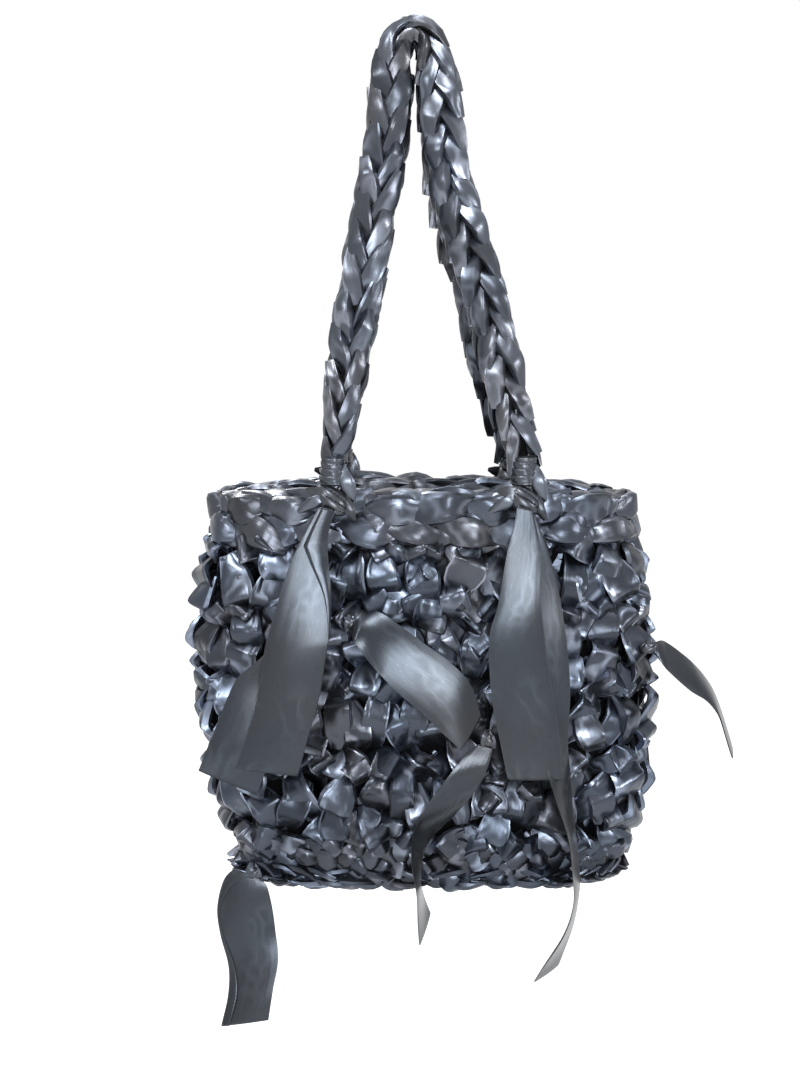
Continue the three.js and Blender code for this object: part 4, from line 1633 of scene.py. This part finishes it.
@dataclass
class RibbonKnot:
    """A knot of gathered ribbon, with tight pleats along it and a few bands beside it."""

    node: str
    works: LobeWorks
    seed: int
    around: int = 72
    rings: int = 24
    pleats: int = 8
    pleat_depth: float = 0.2
    pleat_waver: float = 0.25
    pleat_slant: float = 0.7
    pleat_sharpness: float = 0.55
    end_fullness: float = 2.2
    least_fullness: float = 0.02
    core_share: float = 0.92
    length_share: float = 1.25
    band_shares: tuple[float, float, float] = (2.1, 1.05, 0.45)

    def middle_core(self, middle: Vector, axis: Vector, half: float, radius: float) -> list[list[Vector]]:
        """The knot's gathered middle, with its pleats drawn together at both ends.

        Args:
            middle: Its middle.
            axis: The direction that its pleats run.
            half: Half its length.
            radius: Its radius.

        Returns:
            Its rings of points.
        """
        first = axis.cross(UP).normalized()
        second = axis.cross(first)
        rings = []
        for step in range(self.rings + 1):
            share = 2 * step / self.rings - 1
            full = math.sqrt(max(1 - abs(share) ** self.end_fullness, self.least_fullness))
            ring = []
            for turn in turns_round(self.around):
                uneven = self.pleat_waver * math.sin(2 * turn + self.seed)
                phase = self.pleats * turn / (2 * math.pi) + self.pleat_slant * share + uneven
                fold = 1 - self.pleat_depth * (1 - (phase % 1) ** self.pleat_sharpness)
                out = first * math.cos(turn) + second * math.sin(turn)
                ring.append(middle + axis * (share * half) + out * radius * full * fold)
            rings.append(ring)
        return rings

    def build(self) -> None:
        """Builds the knot."""
        low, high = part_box(self.node)
        size = high - low
        middle = (low + high) / 2
        small = "end_knot" in self.node
        facing = 1 if middle.y > 0 else -1
        axis = (Vector((1, 0, 0.25)) if small else Vector((0.68, 0, -0.72))).normalized()
        radius = size.z / 2
        half = size.x / 2 if small else self.length_share * radius
        guide = LobeGuide(self.seed)
        guide.add_core(self.middle_core(middle, axis, half, radius * self.core_share), shade=0.1)
        for band in END_KNOT_BANDS if small else HANDLE_KNOT_BANDS:
            right, out, up = band.place
            point = middle + Vector((right, facing * out, up)) * radius
            roll = guide.jitter(8)
            looks = band.stretch, band.shade, band.form, roll
            guide.add(point, Vector(band.run), Vector((0, facing, 0)), *looks)
        shares = (radius * share for share in self.band_shares)
        sizes = LobeSizes(*shares, edge=0.5 * MM, crumple=0.3 * MM)
        piece = self.works.make(self.node + "_wrap", guide, sizes, BOUND_SATIN, BOUND_SATIN)
        settle(piece, "bag", self.node)


class Fold(Enum):
    """Where a gathered ribbon's spare width lies: behind it, or one side of it folded over the front."""

    BEHIND = (-1, -1)
    LEFT_OVER = (1, -1)
    RIGHT_OVER = (-1, 1)


# A row across a loose ribbon: the X and Z of its left and of its right edge and how far it stands out, all
# in millimetres, and its turn, where it has one. The turn is the share of the missing width that goes into
# depth, and its sign says which edge is nearer; the rest of it lies in pleats.
FRONT_LEFT = (
    (-57, -285, -48, -287, 0, 0.04), (-65, -300, -52, -302, 1.8, 0.05), (-74, -318, -52, -318, 4.2, 0.06),
    (-82, -342, -50, -340, 7.6, 0.09), (-90, -370, -52, -367, 11, 0.1), (-97, -403, -56, -400, 12),
    (-104, -428, -64, -427, 12), (-109, -445, -71, -450, 11),
)
FRONT_LEFT_UNDER = (
    (-56, -285, -47, -287, -3), (-63, -303, -54, -305, -2), (-71, -325, -57, -328, -1),
    (-79, -352, -60, -354, 0), (-91, -375, -66, -384, 4, 0.1), (-109, -392, -76, -411, 8),
    (-121, -420, -86, -435, 10), (-132, -447, -97, -463, 11),
)
FRONT_RIGHT = (
    (62, -285, 71, -287, 0), (60, -298, 74, -300, 1.3), (56, -314, 76, -314, 3), (51, -344, 76, -340, 5.8),
    (46, -362, 78, -358, 6.8), (46, -383, 81, -380, 7), (48, -405, 85, -402, 6.5), (53, -430, 89, -428, 6),
    (58, -454, 92, -455, 5),
)
FRONT_RIGHT_LONG = (
    (64, -286, 72, -288, -3), (68, -320, 84, -322, -2), (72, -360, 92, -360, -1), (76, -400, 96, -400, -1),
    (80, -440, 95, -437, 0, 0.3), (85, -462, 98, -458, 0, 0.7), (95, -490, 102, -486, 0, 0.95),
    (98, -512, 104, -510, 0, 0.98), (98, -532, 106, -531, 0, 0.95), (91, -556, 103, -555, 1, 0.8),
    (75, -584, 92, -581, 2, 0.6),
)
MIDDLE = (
    (-39, -362, -36, -354, -2), (-36, -367, -29, -351, 1, 0.6), (-30, -376, -19, -353, 3, 0.5),
    (-20, -388, -6, -361, 5, 0.38), (-8, -400, 8, -371, 6.5, 0.35), (5, -411, 22, -381, 8, 0.33),
    (17, -423, 34, -394, 9, 0.25), (29, -434, 41, -415, 9, 0.2),
)
LOWER = (
    (40, -434, 49, -436, -2), (29, -444, 45, -449, 1), (16, -459, 36, -467, 2, 0.2),
    (6, -473, 25, -482, 2, 0.5), (0, -487, 12, -497, 2, 0.8), (-1, -505, 6, -509, 2, 0.95),
    (1, -523, 4, -523, 1, 1.0), (2, -540, 7, -537, 1, 0.9), (4, -558, 11, -549, 2, 0.8),
)
SIDE = (
    (150, -381, 151, -375, 0), (157, -390, 158, -377, 1, 0.6), (171, -403, 168, -383, 2, 0.6),
    (182, -410, 177, -390, 2, 0.6), (190, -418, 187, -401, 1, 0.8), (195, -431, 194, -414, 0, 0.9),
    (199, -445, 202, -440, 0, 0.9),
)
CORNER = (
    (-115, -524, -98, -531, 0), (-122, -532, -94, -536, 1), (-126, -549, -91, -549, 3),
    (-124, -566, -89, -564, 6), (-119, -586, -87, -582, 10), (-119, -604, -90, -600, 14),
    (-123, -623, -93, -619, 18),
)
BACK_LEFT = (
    (-54, -286, -44, -288, 0), (-58, -305, -42, -307, 3), (-62, -335, -30, -335, 4),
    (-62, -370, -24, -370, 5), (-62, -410, -24, -410, 6), (-58, -448, -20, -444, 7),
)
BACK_LEFT_UNDER = (
    (-54, -286, -45, -288, -3), (-64, -306, -50, -308, -2), (-78, -335, -50, -335, -1),
    (-88, -370, -52, -370, 0), (-94, -400, -56, -400, 1), (-102, -432, -64, -430, 2),
)
BACK_RIGHT = (
    (62, -286, 72, -288, 0), (72, -318, 90, -316, 3), (84, -352, 116, -350, 4), (102, -392, 140, -388, 5),
    (120, -430, 158, -424, 6), (127, -484, 166, -484, 8),
)
BACK_RIGHT_UNDER = (
    (62, -286, 71, -288, -3), (58, -312, 73, -312, -2), (48, -345, 78, -345, -1), (42, -385, 80, -385, 0),
    (46, -420, 84, -420, 1), (44, -450, 82, -446, 2),
)


@dataclass
class LooseRibbon:
    """A loose end of the ribbon, hanging from its knot to its cut end.

    Where it is narrower than it was cut, its spare width lies folded behind or over it. Its end is the
    name of its knot without the last word. The base depth and the wave's height are in millimetres.
    """

    label: str
    end: str
    base_depth: float
    rows: Sequence[tuple[float, ...]]
    fold: Fold = Fold.BEHIND
    left_share: float = 0.5
    wave: float = 1.6
    phase: float = 0.0
    cup: float = 1.2 * MM
    wave_length: float = 75 * MM
    wave_slant: float = 1.1
    steps: int = 80
    front_columns: int = 14
    flap_columns: int = 5
    least_flap: float = 0.4 * MM
    most_flap: float = 0.85
    layer_gap: float = 1.1 * MM
    gap_reach: float = 4 * MM
    gap_slope: float = 3
    thickness: float = 0.4 * MM
    fold_angle: float = 0.7

    def lie(self, across: float, run: float) -> float:
        """How far the ribbon cups and waves out of its plane at a place."""
        place = 2 * across / RIBBON_WIDTH
        wave = 2 * math.pi * run / self.wave_length + self.phase
        return self.cup * (1 - place**2) + self.wave * MM * math.sin(wave + self.wave_slant * place)

    def section(self, shown: float, run: float) -> list[tuple[float, float]]:
        """The ribbon's cross-section at one row.

        Args:
            shown: The width that shows there.
            run: The length of ribbon above it.

        Returns:
            Each point's place across the ribbon and how far it stands out of it.
        """
        spare = max(RIBBON_WIDTH - shown, 0.0)
        flaps = []
        for side, share, over in zip((-1, 1), (self.left_share, 1 - self.left_share), self.fold.value):
            length = max(min(spare * share, shown * self.most_flap), self.least_flap)
            gap = over * self.layer_gap * min(1.0, length / self.gap_reach)
            flap = []
            for column in range(self.flap_columns):
                folded = 1 - column / self.flap_columns
                across = side * (shown / 2 - length * folded)
                flap.append((across, self.lie(across, run) + gap * min(1.0, folded * self.gap_slope)))
            flaps.append(flap)
        front = []
        for column in range(self.front_columns + 1):
            across = shown * (column / self.front_columns - 0.5)
            front.append((across, self.lie(across, run)))
        return [*flaps[0], *front, *reversed(flaps[1])]

    def surface(self) -> tuple[list[list[Vector]], float]:
        """The ribbon's points, row by row, and its length."""
        sign = (Side.BACK if self.end.startswith("back") else Side.FRONT).value
        lefts, rights, turns = [], [], []
        for left_x, left_z, right_x, right_z, lift, *turn in self.rows:
            depth = sign * (self.base_depth * MM + lift * MM)
            lefts.append(Vector((left_x * MM, depth, left_z * MM)))
            rights.append(Vector((right_x * MM, depth, right_z * MM)))
            turns.append(turn[0] if turn else 0.0)
        left_path = even_rows(lefts, self.steps)
        right_path = even_rows(rights, self.steps)
        turn_path = np.interp(np.linspace(0, 1, self.steps), np.linspace(0, 1, len(turns)), turns)
        centres = [(a + b) / 2 for a, b in zip(left_path, right_path)]
        grid = []
        run = 0.0
        for index, (left, right, turn) in enumerate(zip(left_path, right_path, turn_path)):
            centre, before = centres[index], centres[max(index - 1, 0)]
            run += (centre - before).length
            after = centres[min(index + 1, self.steps - 1)]
            across = right - left
            missing = math.sqrt(max(RIBBON_WIDTH**2 - across.length_squared, 0.0))
            across += Vector((0, 1, 0)) * (missing * turn)
            shown = min(across.length, RIBBON_WIDTH)
            across.normalize()
            facing = (after - before).cross(across).normalized()
            if facing.y * sign < 0:
                facing = -facing
            grid.append([centre + across * place + facing * out for place, out in self.section(shown, run)])
        return grid, path_length(centres)

    def build(self, material: bpy.types.Material) -> None:
        """Builds the ribbon.

        Args:
            material: Its finish.
        """
        grid, length = self.surface()
        columns = len(grid[0])
        node = self.label + "_ribbon"
        name = node + "_satin"
        body = self.end if self.end.endswith("_end") else self.end + "_ribbons"
        points = [point for row in grid for point in row]
        piece = new_object(name, new_mesh(name, points, grid_faces(len(grid), columns)))
        values = []
        for row in range(len(grid)):
            for column in range(columns):
                share = (column - self.flap_columns) / self.front_columns
                across = RIBBON_WIDTH * (abs(1 - abs(1 - share)) - 0.5)
                values.extend((across, length * row / (len(grid) - 1), 0.0))
        piece.data.attributes.new(PLACE, "FLOAT_VECTOR", "POINT").data.foreach_set("vector", values)
        piece.data.shade_smooth()
        piece.data.set_sharp_from_angle(angle=self.fold_angle)
        piece.data.materials.append(material)
        solid = piece.modifiers.new("cloth thickness", "SOLIDIFY")
        solid.thickness = self.thickness
        solid.offset = 0.0
        settle(piece, body, node)


def loose_ribbons() -> list[LooseRibbon]:
    """Every loose ribbon, from the front left round to the base's corner."""
    return [
        LooseRibbon("front_left", "front_left", 56, FRONT_LEFT, Fold.RIGHT_OVER, left_share=0.3, wave=0.3),
        LooseRibbon("front_left_under", "front_left", 54, FRONT_LEFT_UNDER, phase=1),
        LooseRibbon("front_right", "front_right", 56, FRONT_RIGHT, wave=0.4, phase=2),
        LooseRibbon("front_right_long", "front_right", 54, FRONT_RIGHT_LONG, wave=0.5),
        LooseRibbon("back_left", "back_left", 56, BACK_LEFT, phase=3),
        LooseRibbon("back_left_under", "back_left", 54, BACK_LEFT_UNDER, phase=1),
        LooseRibbon("back_right", "back_right", 56, BACK_RIGHT, phase=4),
        LooseRibbon("back_right_under", "back_right", 54, BACK_RIGHT_UNDER),
        LooseRibbon("middle", "middle_end", 53, MIDDLE, wave=0.3, phase=2),
        LooseRibbon("lower", "lower_end", 54, LOWER, wave=0.8),
        LooseRibbon("side", "side_end", 30, SIDE, wave=0.6),
        LooseRibbon("corner", "corner_end", 28, CORNER, Fold.LEFT_OVER, left_share=0.7),
    ]


@dataclass(frozen=True)
class Lamp:
    """A square soft lamp: where it stands, the length of its side, its power in watts and its colour."""

    name: str
    place: tuple[float, float, float]
    size: float
    power: float
    colour: tuple[float, float, float]


LAMPS = (
    Lamp("key light", (-0.75, -1.0, 0.75), 0.34, 9.5, (0.95, 0.98, 1.0)),
    Lamp("front light", (0.1, -1.2, -0.2), 0.4, 8.5, (0.95, 0.98, 1.0)),
    Lamp("side light", (1.2, -0.6, 0.1), 0.28, 6.0, (1.0, 0.98, 0.96)),
    Lamp("top light", (0.1, -0.5, 0.9), 0.36, 9.5, (0.97, 0.99, 1.0)),
    Lamp("back light", (-0.5, 1.2, 0.6), 0.5, 12.0, (1.0, 1.0, 1.0)),
)


@dataclass
class Studio:
    """The floor, the light and the camera."""

    distance: float = 1.0
    elevation: float = 9.0
    target: Vector = Vector((-8.525 * MM, 0, -310.414 * MM))
    focal_px: float = 1562.5
    frame_height_px: float = 1067.0
    sensor_mm: float = 36.0
    floor_height: float = -0.8
    floor_reach: float = 12.0
    world_light: float = 0.15
    near_glow: float = 0.66
    far_glow: float = 0.92
    pool_radius: float = 1.0

    def camera(self) -> None:
        """Stands the camera where the photograph was taken from."""
        data = bpy.data.cameras.new("camera")
        data.sensor_width = self.sensor_mm
        data.lens = self.focal_px / self.frame_height_px * self.sensor_mm
        camera = new_object("camera", data)
        angle = math.radians(self.elevation)
        back = Vector((0, -math.cos(angle), math.sin(angle)))
        camera.location = self.target + back * self.distance
        camera.rotation_euler = (-back).to_track_quat("-Z", "Y").to_euler()
        bpy.context.scene.camera = camera

    def stand(self, plan: Lamp) -> None:
        """Stands a lamp so that it looks at the bag."""
        data = bpy.data.lights.new(plan.name, "AREA")
        data.size = plan.size
        data.energy = plan.power
        data.color = plan.colour
        lamp = new_object(plan.name, data)
        lamp.location = plan.place
        lamp.rotation_euler = (self.target - lamp.location).to_track_quat("-Z", "Y").to_euler()
        lamp.visible_camera = False

    @staticmethod
    def seen_directly(graph: NodeGraph) -> Formula:
        """One for rays from the camera, off gloss or through glass, otherwise zero."""
        rays = graph.add("ShaderNodeLightPath").outputs
        kinds = ("Is Camera Ray", "Is Glossy Ray", "Is Transmission Ray")
        camera, gloss, glass = (Formula(graph, rays[kind]) for kind in kinds)
        return (camera + gloss + glass).least(1.0)

    def world(self) -> None:
        """A white surround, dimmer as a light than as a background."""
        world = bpy.data.worlds.new("studio")
        graph = NodeGraph.blank(world)
        strength = self.world_light + (1.0 - self.world_light) * self.seen_directly(graph)
        background = graph.first("ShaderNodeBackground", {"Color": (1, 1, 1, 1), "Strength": strength})
        graph.add("ShaderNodeOutputWorld", {"Surface": background})
        bpy.context.scene.world = world

    def floor(self) -> None:
        """A wide pale floor that keeps a soft shadow."""
        corners = ((-1, -1), (1, -1), (1, 1), (-1, 1))
        points = [Vector((x * self.floor_reach, y * self.floor_reach, self.floor_height)) for x, y in corners]
        floor = new_object("studio_floor", new_mesh("studio_floor", points, [(0, 1, 2, 3)]))
        material = bpy.data.materials.new("pale floor")
        graph = NodeGraph.blank(material)
        matt = graph.first("ShaderNodeBsdfDiffuse", {"Color": (0.8, 0.8, 0.8, 1)})
        x, y, _ = graph.split(graph.add("ShaderNodeTexCoord").outputs["Object"])
        away = ((x * x + y * y) ** 0.5 - self.pool_radius) / self.pool_radius
        glow = (self.near_glow + (self.far_glow - self.near_glow) * away.share()) * self.seen_directly(graph)
        white = graph.first("ShaderNodeEmission", {"Color": (1, 1, 1, 1), "Strength": glow})
        blend = graph.first("ShaderNodeAddShader", {0: matt, 1: white})
        graph.add("ShaderNodeOutputMaterial", {"Surface": blend})
        floor.data.materials.append(material)

    def build(self) -> None:
        """Builds the studio."""
        self.camera()
        self.world()
        self.floor()
        for plan in LAMPS:
            self.stand(plan)
        bpy.context.scene.view_settings.view_transform = "Standard"


KNOTS = (
    "front_left_knot", "front_right_knot", "back_left_knot", "back_right_knot",
    "middle_end_knot", "lower_end_knot", "side_end_knot", "corner_end_knot",
)


def main() -> None:
    """Builds the studio and dresses the tote."""
    logging.basicConfig(level=logging.INFO, format="%(message)s")
    Studio().build()
    works = LobeWorks()
    CrochetedBody(works).build()
    for side in Side:
        PlaitedHandle(side, works).build()
    for index, node in enumerate(KNOTS):
        RibbonKnot(node, works, seed=120 + index).build()
    for ribbon in loose_ribbons():
        ribbon.build(works.materials[LOOSE_SATIN.name])


if __name__ == "__main__":
    main()
